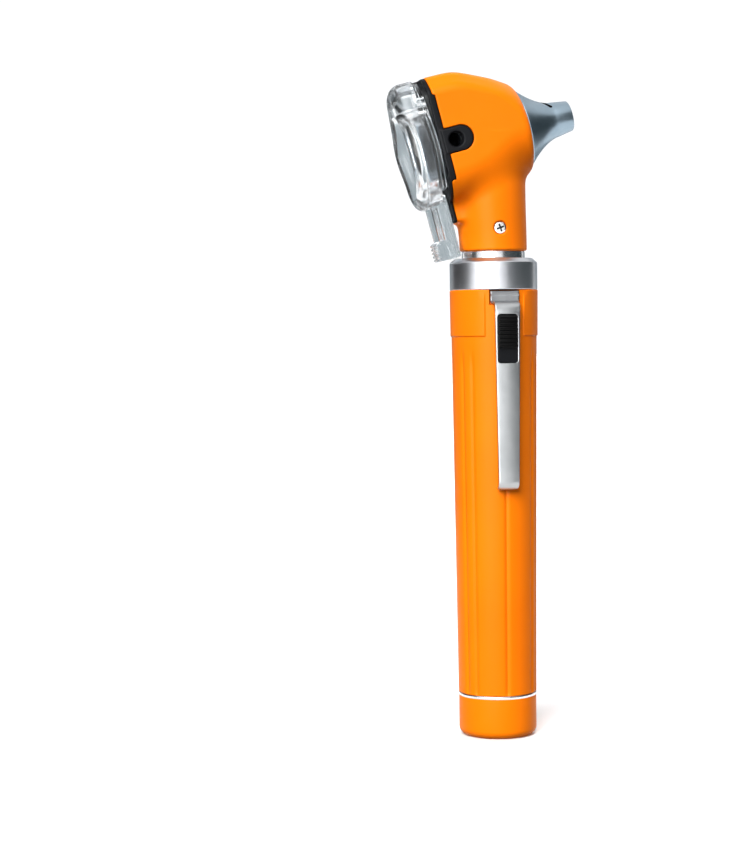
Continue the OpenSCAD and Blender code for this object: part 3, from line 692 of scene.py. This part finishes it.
CLIP_MID_R = CLIP_FACE_R - CLIP_T / 2
BEND_R = CLIP_MID_R - CLIP_BEND
CLIP_LINE = ([(9.95, 109.55), (9.95, CLIP_TOP_Z - CLIP_T / 2 + 0.3), (10.25, CLIP_TOP_Z - CLIP_T / 2)]
             + arc_points((BEND_R, CLIP_TOP_Z - CLIP_T / 2 - CLIP_BEND), CLIP_BEND, 90, 0, 14)
             + arc_points((BEND_R, CLIP_LOW_Z + CLIP_T / 2 + CLIP_BEND), CLIP_BEND, 0, -85, 14))


def clip_field(r, s, z):
    crown = 0.032 * s * s * smoothstep((CLIP_TOP_Z - 0.8 - z) / 2)
    sheet = line_distance(r + crown, z, CLIP_LINE) - CLIP_T / 2
    half = 2.55 + (3.15 - 2.55) * (z - CLIP_LOW_Z) / (CLIP_TOP_Z - CLIP_LOW_Z)
    half = half + (3.6 - half) * smoothstep((z - CLIP_TOP_Z + 0.9) / 0.8) * smoothstep((11.1 - r) / 0.8)
    outline = rounded_both(np.abs(s) - half, CLIP_LOW_Z - 0.1 - z, 1.1)
    body = soft_max(sheet, outline, 0.22)
    hole = round_box(s, z - (SLOT_TOP_Z + SLOT_LOW_Z) / 2, SLOT_HALF, (SLOT_TOP_Z - SLOT_LOW_Z) / 2, 0.8)
    body = soft_max(body, np.minimum(-hole, r - 11), 0.18)
    bead = np.maximum(length2(r - 9.95, z - 108.9) - 0.45, np.abs(s) - 3.6)
    return np.minimum(body, bead)


shape = iso_mesh(clip_field, (9.3, -3.8, 61.2), (13.2, 3.8, 110.2), 0.13)
clip = piece("pocket_clip", shape, BRUSHED, "clip", ["clip"], CLIP_TO_ROW, 50)
FROM_ROW = CLIP_TO_ROW.inverted()
# The root plate's faces, next to the handle, get the darker spring steel: painted shade where the plate sits
# in the notch
recolour(clip, SPRING, lambda centre: (FROM_ROW @ centre).x < 10.75)


def base_field(r, s, z):
    mid, half = (SLOT_TOP_Z + SLOT_LOW_Z) / 2, (SLOT_TOP_Z - SLOT_LOW_Z) / 2
    plate = rounded_both(round_box(s, z - mid, 2.5, half + 0.8, 0.5), slab(r, 11.05, 12.15), 0.15)
    land = round_box(s, z - mid, SLOT_HALF - 0.08, half - 0.08, 0.75)
    land = rounded_both(land, slab(r, 11.05, 12.55), 0.12)
    slot = round_box(s, z - STEM_SLOT_Z, 0.9, 2.8, 0.5)
    return soft_max(np.minimum(plate, land), -slot, 0.12)


shape = iso_mesh(base_field, (10.9, -2.8, 91.2), (12.8, 2.8, 105.4), 0.1)
piece("switch_plate", shape, BLACK, "clip", ["switch_base"], CLIP_TO_ROW)

SLIDER_TOP_Z, SLIDER_LEN, RIBS = 104.0, 8.0, 8


def slider_field(r, s, z):
    along = (z - SLIDER_TOP_Z + SLIDER_LEN) / SLIDER_LEN * RIBS
    wave = np.clip(1.35 - np.abs(np.mod(along, 1) - 0.5) * 4.4, 0, 1)
    face = 13.3 + 0.42 * wave - 0.03 * s * s
    block = rounded_both(round_box(s, z - SLIDER_TOP_Z + SLIDER_LEN / 2, 2.3, SLIDER_LEN / 2, 0.5),
                         np.maximum(12.65 - r, (r - face) * 0.72), 0.14)
    stem = np.maximum(round_box(s, z - STEM_Z, 0.7, 0.9, 0.3), slab(r, 9.6, 12.8))
    return soft_min(block, stem, 0.1)


shape = iso_mesh(slider_field, (9.4, -2.5, 95.7), (13.9, 2.5, 104.3), 0.075)
piece("switch_thumb", shape, SLIDER_BLACK, "slider", ["switch_slider"], CLIP_TO_ROW)

wiper = rounded([(9.55, 102), (9.25, 102), (8.35, 101), (8.35, 100.2), (9.25, 99), (9.55, 99)],
                [0, 0, 0.3, 0.3, 0, 0])
shape = prism([(r, -z) for r, z in wiper], -1.2, 1.2)
STRIP_TO_ROW = CLIP_TO_ROW @ Matrix(((1, 0, 0, 0), (0, 0, 1, 0), (0, -1, 0, 0), (0, 0, 0, 1)))
contact = piece("switch_wiper", shape, BRASS, "slider", ["switch_contact"], STRIP_TO_ROW)
modify(contact, "BEVEL", width=0.08 * MM, segments=2, limit_method="ANGLE", angle_limit=radians(40))

# ----------------------------------------------------------- head shell ----

HALF_W, WALL = 10.9, 1.6
FRONT_U, BACK_U, TOP_BACK_U, PAD_BACK_U, MID_FACE_U, PAD_FACE_U = 7.65, -13.5, -14.1, -14.7, -15.2, -16.7
PAD_R, TAIL_PAD_R, TAIL_FACE_U = 3.0, PIVOT_V + 10.5, -15.7
NECK_Z, SCREW_Z = 119.8, 125.2
LAND_HALF_W, LAND_LOW_V, STEP_V = 4.6, -18.2, 12.7
PORT_U, PORT_V, PORT_R, TAB_U, TAB_R = -11.2, 1.2, 1.7, -9.9, 3.0


def soft_ramp(x, width):
    return width * np.logaddexp(0, x / width)


def head_section(u, y, v, inset=0.0):
    """Distance to the head's outline across the optical axis, tall at the back and round at the front."""
    half = HALF_W - inset
    top = 17.5 - 0.47 * soft_ramp(u + 7, 1.1) - inset
    bottom = -10.7 - 2.9 * smoothstep((6.5 - u) / 19) + inset
    t = np.clip((u + 8) / 15.5, 0, 1)
    high_r = np.minimum(2.2 + 8.7 * t * t, half)
    low_r = np.minimum(8.2 + 2.7 * smoothstep((u + 9) / 14), half)
    corner_r = np.where(v > 0, high_r, low_r)
    reach = np.where(v > 0, v - top, bottom - v)
    walls = rounded_both(np.abs(y) - half, reach, corner_r)
    chamfer = (np.abs(y) + v - (half + top - 3.7)) / sqrt(2)
    return soft_max(walls, chamfer, 1.1)


def neck_distance(x, y, z):
    t = smoothstep((z - NECK_Z) / 15)
    return length2(x + 0.75 * t, y) - (8.28 + 0.52 * t)


def pad_masks(y, v, grow, soft=0.3):
    """Disc around the pivot and land under the tail, each 1 inside and 0 outside."""
    rho = length2(y, v - PIVOT_V)
    return smoothstep((PAD_R + grow - rho) / soft + 0.5), smoothstep((rho - TAIL_PAD_R + grow) / soft + 0.5)


def shell_back(y, v, grow):
    """Place along u of the shell's back edge, which steps around the pivot, at the top and at the tail."""
    back = BACK_U + (TOP_BACK_U - BACK_U) * smoothstep((v - STEP_V) / 0.5 + 0.5)
    return back + (PAD_BACK_U - back) * np.maximum(*pad_masks(y, v, grow))


def shell_field(u, y, v):
    x, z = to_row(u, v)
    barrel = soft_max(head_section(u, y, v), u - FRONT_U, 2.2)
    neck = np.maximum(neck_distance(x, y, z), z - 146)
    skin = soft_min(barrel, neck, 3)
    land = rounded_both(round_box(y, v - LAND_LOW_V - 8, LAND_HALF_W, 8, 1), slab(u, -20, -9), 0.4)
    skin = soft_min(skin, land, 2)
    body = soft_max(skin, shell_back(y, v, 0.15) - u, 0.35)
    body = soft_max(body, NECK_Z - z, 0.5)
    hollow = np.maximum(np.maximum(skin + WALL, u - 4.6), NECK_Z + 6 - z)
    hollow = soft_min(hollow, np.maximum(length2(x, y) - 6.45, z - 134), 0.4)
    from_axis = length2(y, v)
    tab = np.minimum(length2(u - TAB_U, v - PORT_V) - TAB_R - 0.1,
                     np.maximum(np.abs(v - PORT_V) - TAB_R - 0.1, u - TAB_U))
    from_screw = length2(x, z - SCREW_Z)
    for bore, end in ((from_axis - 8.7, -u), (from_axis - 9.65, 6.1 - u), (from_axis - 9.2, u + 5.8),
                      (length2(y, v - PIVOT_V) - 1.9, u + 12.1), (tab, y),
                      (from_screw - 0.9, y), (from_screw - 1.62, y + 7.5)):
        hollow = np.minimum(hollow, np.maximum(bore, end))
    return soft_max(body, -hollow, 0.3)


shape = iso_mesh(shell_field, (-16.4, -11.7, -31.3), (8.6, 11.7, 18.3), 0.21)
piece("head_housing", shape, ORANGE, "head", ["head_shell"], HEAD_TO_ROW, 50)

# ----------------------------------------------------------- inner body ----

FUNNEL = [(7.9, -14.5), (9.1, -14.5), (9.1, -6), (3.7, -1), (3.7, 1), (3.02, 1), (3.02, -1.4), (7.9, -6.8)]


def inner_field(u, y, v):
    strip = head_section(np.full_like(u, BACK_U), y, v, 0.12)
    low = round_box(y, v - LAND_LOW_V - 8, LAND_HALF_W, 8, 1)
    strip = soft_min(strip, low, 0.8)
    disc, land = pad_masks(y, v, 0.0)
    face = MID_FACE_U + (PAD_FACE_U - MID_FACE_U) * disc + (TAIL_FACE_U - MID_FACE_U) * land
    seat = shell_back(y, v, 0.25) - 0.02
    body = soft_max(strip, np.maximum(face - u, u - seat), 0.35)
    from_axis = length2(y, v)
    body = soft_max(body, 7.9 - from_axis, 0.2)
    body = np.minimum(body, outline_distance(from_axis, u, FUNNEL))
    tab = soft_min(length2(u - TAB_U, v - PORT_V) - TAB_R,
                   np.maximum(np.abs(v - PORT_V) - TAB_R, u - TAB_U), 0.05)
    tab = soft_max(np.maximum(tab, -14.5 - u), np.maximum(-y - 11.15, y + 8.2), 0.5)
    body = soft_min(body, tab, 0.25)
    rho = length2(y, v - PIVOT_V)
    body = np.minimum(body, np.maximum(rho - 1.8, slab(u, -15.2, -12.2)))
    port = length2(u - PORT_U, v - PORT_V) - PORT_R - 0.35 * smoothstep((-y - 10.5) / 0.9)
    body = soft_max(body, np.minimum(-port, -y), 0.15)
    return soft_max(body, 0.9 - rho, 0.1)


shape = iso_mesh(inner_field, (-17.1, -11.5, -18.8), (1.4, 11.5, 18), 0.2)
piece("head_core", shape, BLACK, "head", ["inner_body"], HEAD_TO_ROW, 50)

# ------------------------------------------------ cone and light guide ----

AROUND_U = HEAD_TO_ROW @ Matrix(((0, 0, 1, 0), (0, 1, 0, 0), (-1, 0, 0, 0), (0, 0, 0, 1)))
CONE_BASE_R, SEAT_R, SEAT_LEN, TIP_U, CONE_U = 9.6, 3.95, 4.0, 20.2, 7.7
SEAT_BACK_R, SEAT_TIP_R = 4.35, 3.75
CONE_SLOT_U, CONE_SLOT_TURN, CONE_SLOT_SLANT = 14.7, 29, 32
CHANNEL_R = 2.6


def flare(t):
    return SEAT_BACK_R + (CONE_BASE_R - SEAT_BACK_R) * (1 - t) ** 1.65


seat_u = TIP_U - SEAT_LEN
steps = [i / 48 for i in range(49)]
cone_outer = [(flare(t), CONE_U + (seat_u - CONE_U) * t) for t in steps]
cone_inner = [(max(flare(t) - 0.8, 3.38), CONE_U + (seat_u - CONE_U) * t) for t in reversed(steps)]
cone_profile = (
    [(CONE_BASE_R - 0.8, 6.15), (CONE_BASE_R - 0.1, 6.15), (CONE_BASE_R, 6.25), (CONE_BASE_R, CONE_U - 0.05)]
    + cone_outer + [(SEAT_TIP_R, TIP_U - 0.3), (SEAT_TIP_R - 0.06, TIP_U - 0.1), (SEAT_TIP_R - 0.2, TIP_U),
                    (3.42, TIP_U), (3.37, TIP_U - 0.05)] + cone_inner)
shape = turned(cone_profile, 192)
cone = piece("speculum_mount", shape, CONE, "head", ["speculum_cone"], AROUND_U)
cone_slot = prism(rounded(box_outline(-0.45, 0.45, 1.7), 0.42, 8), SEAT_R - 0.62, SEAT_R + 4)
SLOT_PLACE = (HEAD_TO_ROW @ Matrix.Rotation(radians(CONE_SLOT_TURN), 4, "X")
              @ Matrix.Translation((CONE_SLOT_U, 0, 0))
              @ Matrix.Rotation(radians(CONE_SLOT_SLANT), 4, "Z"))
# The slot's walls get near-black metal: painted shade inside the slot
cut(cone, cone_slot, SLOT_PLACE, 30, RECESS_SHADE)

shape = turned(profile((CHANNEL_R, -3), (CHANNEL_R + 0.35, -3, 0.1), (CHANNEL_R + 0.35, TIP_U - 0.1, 0.08),
                       (CHANNEL_R, TIP_U - 0.1, 0.08)), 96)
piece("working_channel", shape, BLACK, "head", ["instrument_tube"], AROUND_U)
shape = turned(profile((2.98, 11, 0.05), (3.35, 11, 0.05), (3.35, TIP_U - 0.05, 0.04),
                       (2.98, TIP_U - 0.05, 0.04)), 96)
piece("light_ring", shape, FIBRE, "head", ["fiber_ring"], AROUND_U)


def guide_points():
    """Smooth rod that rises, bends over and runs along the optical axis."""
    low_z, bend_z, bend_r, run, rod_r = 131.66, 138.3, 5.0, 5.8, 1.8
    turn = pi / 2 - atan2(SIN_T, COS_T)
    line = [(0, low_z, 0), (0, bend_z - 0.01, 0)]
    for a in turn * np.arange(25) / 24:
        line.append((bend_r * (1 - cos(a)), bend_z + bend_r * sin(a), a))
    end = line[-1]
    line.append((end[0] + run * sin(turn), end[1] + run * cos(turn), turn))
    sides = 40
    points = []
    for x, z, a in line:
        for s in around(sides):
            across = rod_r * cos(s)
            points.append((x + across * cos(a), rod_r * sin(s), z - across * sin(a)))
    walls, ends = rod_faces(len(line), sides)
    return points, walls + ends


shape = guide_points()
piece("light_guide", shape, FIBRE, "head", ["fiber_bundle"])

# ----------------------------------------------------------------- lamp ----

LAMP_Z, GLASS_Z = 113.66, 123.66
shape = turned(profile(
    (0, LAMP_Z), (1, LAMP_Z, 0.2), (1.4, LAMP_Z + 0.5, 0.2), (1.4, LAMP_Z + 1, 0.05),
    (3.1, LAMP_Z + 1.4, 0.15), (3.1, GLASS_Z - 3, 0.05), (3.9, GLASS_Z - 3, 0.1), (3.9, GLASS_Z - 2.4, 0.1),
    (2.7, GLASS_Z - 2.4, 0.1), (2.7, GLASS_Z, 0.1), (0, GLASS_Z)), 96)
piece("lamp_base", shape, BRASS, "head_carrier", ["bulb_base"])
quarter = np.linspace(0, pi / 2, 17)[:-1]
glass_top = [(2.4 * cos(a), GLASS_Z + 4.4 + 2.4 * sin(a)) for a in quarter]
shape = turned([(0, GLASS_Z), (2.25, GLASS_Z), (2.4, GLASS_Z + 0.15), *glass_top, (0, GLASS_Z + 6.8)], 96)
piece("lamp_bulb", shape, GLASS, "head_carrier", ["bulb_glass"])
shape = turned(profile((3.2, 115.26), (5.8, 115.26, 0.3), (5.8, 122.26, 0.2), (4.1, 122.26, 0.1),
                       (4.1, 120.61), (3.2, 120.61, 0.1)), 96)
piece("lamp_holder", shape, BLACK, "head", ["lamp_socket"])


def neck_radius(angle, z):
    r = thread(z, angle, 112.95, 117.2, 1, 6.92, 7.32)
    ring = smoothstep((z - 117.3) / 0.05) * smoothstep((NECK_Z - z) / 0.03)
    soft = 0.2 * np.maximum(np.abs((z - 118.55) / 1.25), 0) ** 8
    r = r + (7.75 - soft - r) * ring
    upper = smoothstep((z - NECK_Z) / 0.03)
    return r + (6.4 - r) * upper


neck_heights = np.unique(np.round(np.concatenate([
    np.arange(112.9, 117.3, 0.08),
    117.3 + np.array([0, 0.02, 0.05, 0.1, 0.2, 0.4, 0.8, 1.3, 1.7, 2.1, 2.3, 2.4, 2.47, 2.5]),
    NECK_Z + np.array([0.02, 0.05, 2, 4, 6, 7.8, 8])]), 3))
shape = sleeve(neck_heights, around(160), neck_radius,
               [(5.15, 127.8), (5, 127.65), (5, SCREW_Z - 1.2), (5.85, SCREW_Z - 1.2), (5.85, 113.1),
                (6.05, 112.9)])
neck = piece("neck_ring", shape, BRIGHT, "head", ["neck_tube"])
SIDEWAYS = Matrix.Translation((0, 0, SCREW_Z)) @ Matrix.Rotation(radians(90), 4, "X")
shape = turned([(0, 3), (0.62, 3), (0.62, 8), (0, 8)], 32)
cut(neck, shape, SIDEWAYS)

# ---------------------------------------------------------------- screw ----

shape = turned(profile((0, 5.1), (0.4, 5.1, 0.1), (0.6, 5.4, 0.1), (0.6, 7.5), (1.475, 7.5, 0.08),
                       (1.475, 8.2, 0.16), (1.15, 8.4, 0.3), (0, 8.44), steps=8), 96)
screw = piece("neck_screw", shape, SCREW, "head", ["head_screw"], SIDEWAYS)
for angle in (20, 110):
    turn = SIDEWAYS @ Matrix.Rotation(radians(angle), 4, "Z")
    # The cross's walls get near-black metal: painted shade in the recess
    cut(screw, prism(rounded(box_outline(-0.95, 0.95, 0.2), 0.12, 4), 7.7, 9), turn, walls=RECESS_SHADE)

# --------------------------------------------------------------- window ----

WINDOW_BACK_U, WINDOW_HALF_W = -23.0, 10.8
LENS_HALF_W, LENS_HALF_H = 8.2, 10.4
LENS_RIM_U, LENS_FLAT_U = -19.5, -17.1
TAIL_LOW_V, TAIL_HALF_W, TAIL_BACK_U, TAIL_FRONT_U = -26.4, 4.0, -18.45, -15.85
RIB_BACK_U, GRIP_BACK_U, GRIP_FRONT_U, GRIP_PITCH = -20.2, -21.2, -16.7, 0.9


def rim_distance(y, v):
    return np.minimum(uneven_capsule(y, v, WINDOW_HALF_W, 1, 7, 10.9),
                      uneven_capsule(y, v, WINDOW_HALF_W, 1, 8, -5.5))


def oval_distance(y, v, half_w, half_h):
    """Near distance to an oval."""
    k = length2(y / half_w, v / half_h)
    g = length2(y / half_w ** 2, v / half_h ** 2)
    return k * (k - 1) / np.maximum(g, 1e-6)


def window_field(u, y, v):
    rim = rim_distance(y, v)
    rho = length2(y, v - PIVOT_V)
    middle = smoothstep((rho - PAD_R - 0.4) / 0.3 + 0.5) * smoothstep((TAIL_PAD_R - 0.4 - rho) / 0.3 + 0.5)
    face = PAD_FACE_U - 0.15 + 1.5 * middle
    flange = smoothstep((u + 16.5) / 0.25 + 0.5)
    block = rounded_both(rim + 0.45 * flange, WINDOW_BACK_U - u, 2.2 + 1.4 * smoothstep(v / 10))
    block = soft_max(block, u - face, 0.4)
    plate = round_box(y, v + 18.6, TAIL_HALF_W, 7.8, 0.9)
    plate = rounded_both(plate, slab(u, TAIL_BACK_U, TAIL_FRONT_U), 0.25)
    ribs = round_box(np.abs(y) - TAIL_HALF_W + 0.6, v + 17.4, 0.6, 5.1, 0.3)
    ribs = rounded_both(ribs, slab(u, RIB_BACK_U, GRIP_FRONT_U), 0.25)
    ripple = 0.25 * np.cos((v - TAIL_LOW_V - GRIP_PITCH / 2) * 2 * pi / GRIP_PITCH)
    grip = rounded_both(round_box(y, v - TAIL_LOW_V - 2.3, TAIL_HALF_W, 2.3, 0.5),
                        np.maximum(GRIP_BACK_U - ripple - u, u - GRIP_FRONT_U), 0.2)
    tail = soft_min(soft_min(plate, ribs, 0.5), grip, 0.5)
    body = soft_min(block, tail, 0.9)
    opening = oval_distance(y, v, LENS_HALF_W - 0.9, LENS_HALF_H - 0.9)
    opening = opening - 0.9 * smoothstep((-20.6 - u) / 2.4)
    pocket = np.maximum(oval_distance(y, v, LENS_HALF_W + 0.05, LENS_HALF_H + 0.05), LENS_RIM_U - 0.4 - u)
    body = soft_max(body, -opening, 0.7)
    body = soft_max(body, -pocket, 0.2)
    pin = np.minimum(rho - 0.95, np.maximum(rho - 2.3, u + 20.25))
    return soft_max(body, -pin, 0.2)


shape = iso_mesh(window_field, (-23.4, -11.3, -26.9), (-14.8, 11.3, 18.2), 0.19)
piece("window_block", shape, ACRYLIC, "window", ["window_frame"], HEAD_TO_ROW, 50)


def lens_points():
    """Plano-convex oval magnifier with softened rims."""
    bulge, bulge_r, rings, columns = 0.9, 42, 28, 128
    angles = around(columns)
    apex = LENS_RIM_U - bulge

    def ring(scale, u):
        y, v = LENS_HALF_W * scale * np.cos(angles), LENS_HALF_H * scale * np.sin(angles)
        return np.stack([np.full(columns, u) if np.isscalar(u) else u(y, v), y, v], 1)

    def dome(y, v):
        return apex + bulge_r - np.sqrt(bulge_r ** 2 - y * y - v * v)

    points = [[[apex, 0, 0]]]
    points += [ring(0.985 * k / rings, dome) for k in range(1, rings + 1)]
    points += [ring(0.996, lambda y, v: dome(y, v) + 0.06), ring(1.0, lambda y, v: dome(y, v) + 0.2)]
    points += [ring(1.0, LENS_FLAT_U - 0.15), ring(0.996, LENS_FLAT_U - 0.04), ring(0.985, LENS_FLAT_U)]
    points += [ring(0.985 * k / 8, LENS_FLAT_U) for k in range(7, 0, -1)]
    points.append([[LENS_FLAT_U, 0, 0]])
    rows = len(points) - 2
    points = np.concatenate([np.asarray(p, float) for p in points])
    faces = [tuple(f + 1 for f in face) for face in grid_faces(rows, columns, False, True)]
    last = len(points) - 1
    faces += [(0, 1 + (i + 1) % columns, 1 + i) for i in range(columns)]
    low = 1 + (rows - 1) * columns
    faces += [(last, low + i, low + (i + 1) % columns) for i in range(columns)]
    return points, [f[::-1] for f in faces]


shape = lens_points()
piece("magnifier", shape, LENS, "window", ["lens"], HEAD_TO_ROW, 45)

PIVOT_PLACE = AROUND_U @ Matrix.Translation((-PIVOT_V, 0, 0))
shape = turned(profile(
    (0, -21.6), (1.45, -21.6, 0.3), (1.8, -21.25, 0.15), (1.8, -20.7, 0.1), (0.9, -20.7), (0.9, -12.5, 0.1),
    (0.6, -12.2, 0.1), (0, -12.2)), 64)
piece("hinge_pin", shape, BRIGHT, "head", ["pivot_pin"], PIVOT_PLACE)
shape = turned(profile((0.96, -20.65, 0.05), (1.9, -20.65, 0.1), (1.9, -20.3, 0.1), (0.96, -20.3, 0.05)), 64)
piece("hinge_washer", shape, SPRING, "window", ["pivot_washer"], PIVOT_PLACE)


# ---------------------------------------------------------------- stage ----

def paper(name, colour):
    material, tree, shader = new_material(name)
    drift = noise(tree, object_coords(tree), 3, 2)
    tree.links.new(ramp(tree, drift, [c * 0.985 for c in colour], colour), shader.inputs["Base Color"])
    preset(shader, {"Roughness": 0.6, "Specular IOR Level": 0.2})
    return material


def floor():
    """Round floor, left out of the light that falls on the object."""
    segments, radii = 96, [0.4, 1, 2, 4, 8]
    angles = around(segments)
    points = np.concatenate([[[0, 0, 0]], *(circle(r, 0, angles) for r in radii)])
    faces = [(0, 1 + i, 1 + (i + 1) % segments) for i in range(segments)]
    faces += [tuple(f + 1 for f in face)[::-1] for face in grid_faces(len(radii), segments, False, True)]
    obj = add_mesh("floor", points.tolist(), faces, paper("floor_paper", (0.9, 0.902, 0.905)))
    obj.visible_diffuse = False


def glow(name, colour, strength):
    material, tree, shader = new_material(name)
    preset(shader, {"Base Color": opaque((0, 0, 0)), "Emission Color": opaque(colour),
                    "Emission Strength": strength})
    return material


# Azimuth of the camera; the cards and the light are placed from it, positive to the right
VIEW_ANGLE = -102.5
CARD_DISTANCE, CARD_HEIGHT = 0.42, 0.1


def card(name, angle, width, height, colour, strength):
    """Glowing or dark card that only reflections and clear pieces see."""
    w, h = width / 2, height / 2
    corners = [(-w, -h, 0), (w, -h, 0), (w, h, 0), (-w, h, 0)]
    obj = add_mesh(name, corners, [(0, 1, 2, 3)], glow(name, colour, strength))
    a = radians(VIEW_ANGLE + angle)
    obj.location = (CARD_DISTANCE * cos(a), CARD_DISTANCE * sin(a), CARD_HEIGHT)
    obj.rotation_euler = Vector((-cos(a), -sin(a), 0)).to_track_quat("Z", "Y").to_euler()
    for ray in ("camera", "diffuse", "shadow", "volume_scatter"):
        setattr(obj, "visible_" + ray, False)


def dome():
    """Wide white surround, seen by the camera, in reflections and through clear pieces."""
    segments, rings, radius = 64, 24, 6.0
    angles = around(segments)
    lifts = [radians(-8 + 97.5 * i / (rings - 1)) for i in range(rings)]
    points = np.concatenate([circle(radius * cos(a), radius * sin(a), angles) for a in lifts])
    faces = grid_faces(rings, segments, False, True)
    faces.append(tuple((rings - 1) * segments + j for j in range(segments)))
    obj = add_mesh("surround", points.tolist(), faces, glow("surround", (0.985, 0.99, 1), 1))
    for ray in ("diffuse", "shadow", "volume_scatter"):
        setattr(obj, "visible_" + ray, False)


floor()
dome()
world = bpy.data.worlds.new("studio")
bpy.context.scene.world = world
world.use_nodes = True
preset(world.node_tree.nodes["Background"], {"Color": opaque((0.96, 0.98, 1)), "Strength": 0.32})


def soft_sun(name, angle, height, strength, spread):
    """Parallel light; angle is counted from the viewing direction, positive to the right."""
    lamp = bpy.data.lights.new(name, "SUN")
    lamp.energy, lamp.angle = strength, radians(spread)
    obj = bpy.data.objects.new(name, lamp)
    a, e = radians(VIEW_ANGLE + angle), radians(height)
    towards = Vector((cos(a) * cos(e), sin(a) * cos(e), sin(e)))
    obj.rotation_euler = towards.to_track_quat("Z", "Y").to_euler()
    bpy.context.scene.collection.objects.link(obj)


soft_sun("key", -18, 38, 4.9, 40)
soft_sun("fill", 157, 32, 2.4, 50)

card("dark_left", -98, 0.6, 0.6, (1, 0.9, 0.85), 0.012)
card("dark_right", 82, 0.9, 0.7, (0.4, 0.85, 1), 0.04)
card("grey_back", 180, 0.75, 0.6, (0.8, 0.93, 1), 0.36)
card("soft_box", -15, 0.3, 0.5, (1, 1, 1), 6)


def aimed_camera():
    """Camera half a metre away, a little behind the head's side; the object stands off its centre."""
    distance, height, aim_height, object_offset, lean = 0.5, 0.102, 0.078, 0.03125, 0.75
    sensor, picture_height, picture_per_metre = 36, 844, 4036
    a = radians(VIEW_ANGLE)
    side = atan2(object_offset, distance)
    heading = a + pi + side
    depth = distance * cos(side)
    pitch = atan2(height - aim_height, depth)
    data = bpy.data.cameras.new("camera")
    data.sensor_width = sensor
    data.lens = sensor * picture_per_metre * hypot(depth, height - aim_height) / picture_height
    data.clip_start, data.clip_end = 0.01, 50
    obj = bpy.data.objects.new("camera", data)
    ahead = cos(pitch)
    look = Vector((cos(heading) * ahead, sin(heading) * ahead, -sin(pitch)))
    turn = look.to_track_quat("-Z", "Y").to_matrix().to_4x4() @ Matrix.Rotation(radians(-lean), 4, "Z")
    obj.matrix_world = Matrix.Translation((distance * cos(a), distance * sin(a), height)) @ turn
    bpy.context.scene.collection.objects.link(obj)
    bpy.context.scene.camera = obj


aimed_camera()
bpy.context.scene.view_settings.view_transform = "Standard"
bpy.context.scene.view_settings.gamma = 0.88
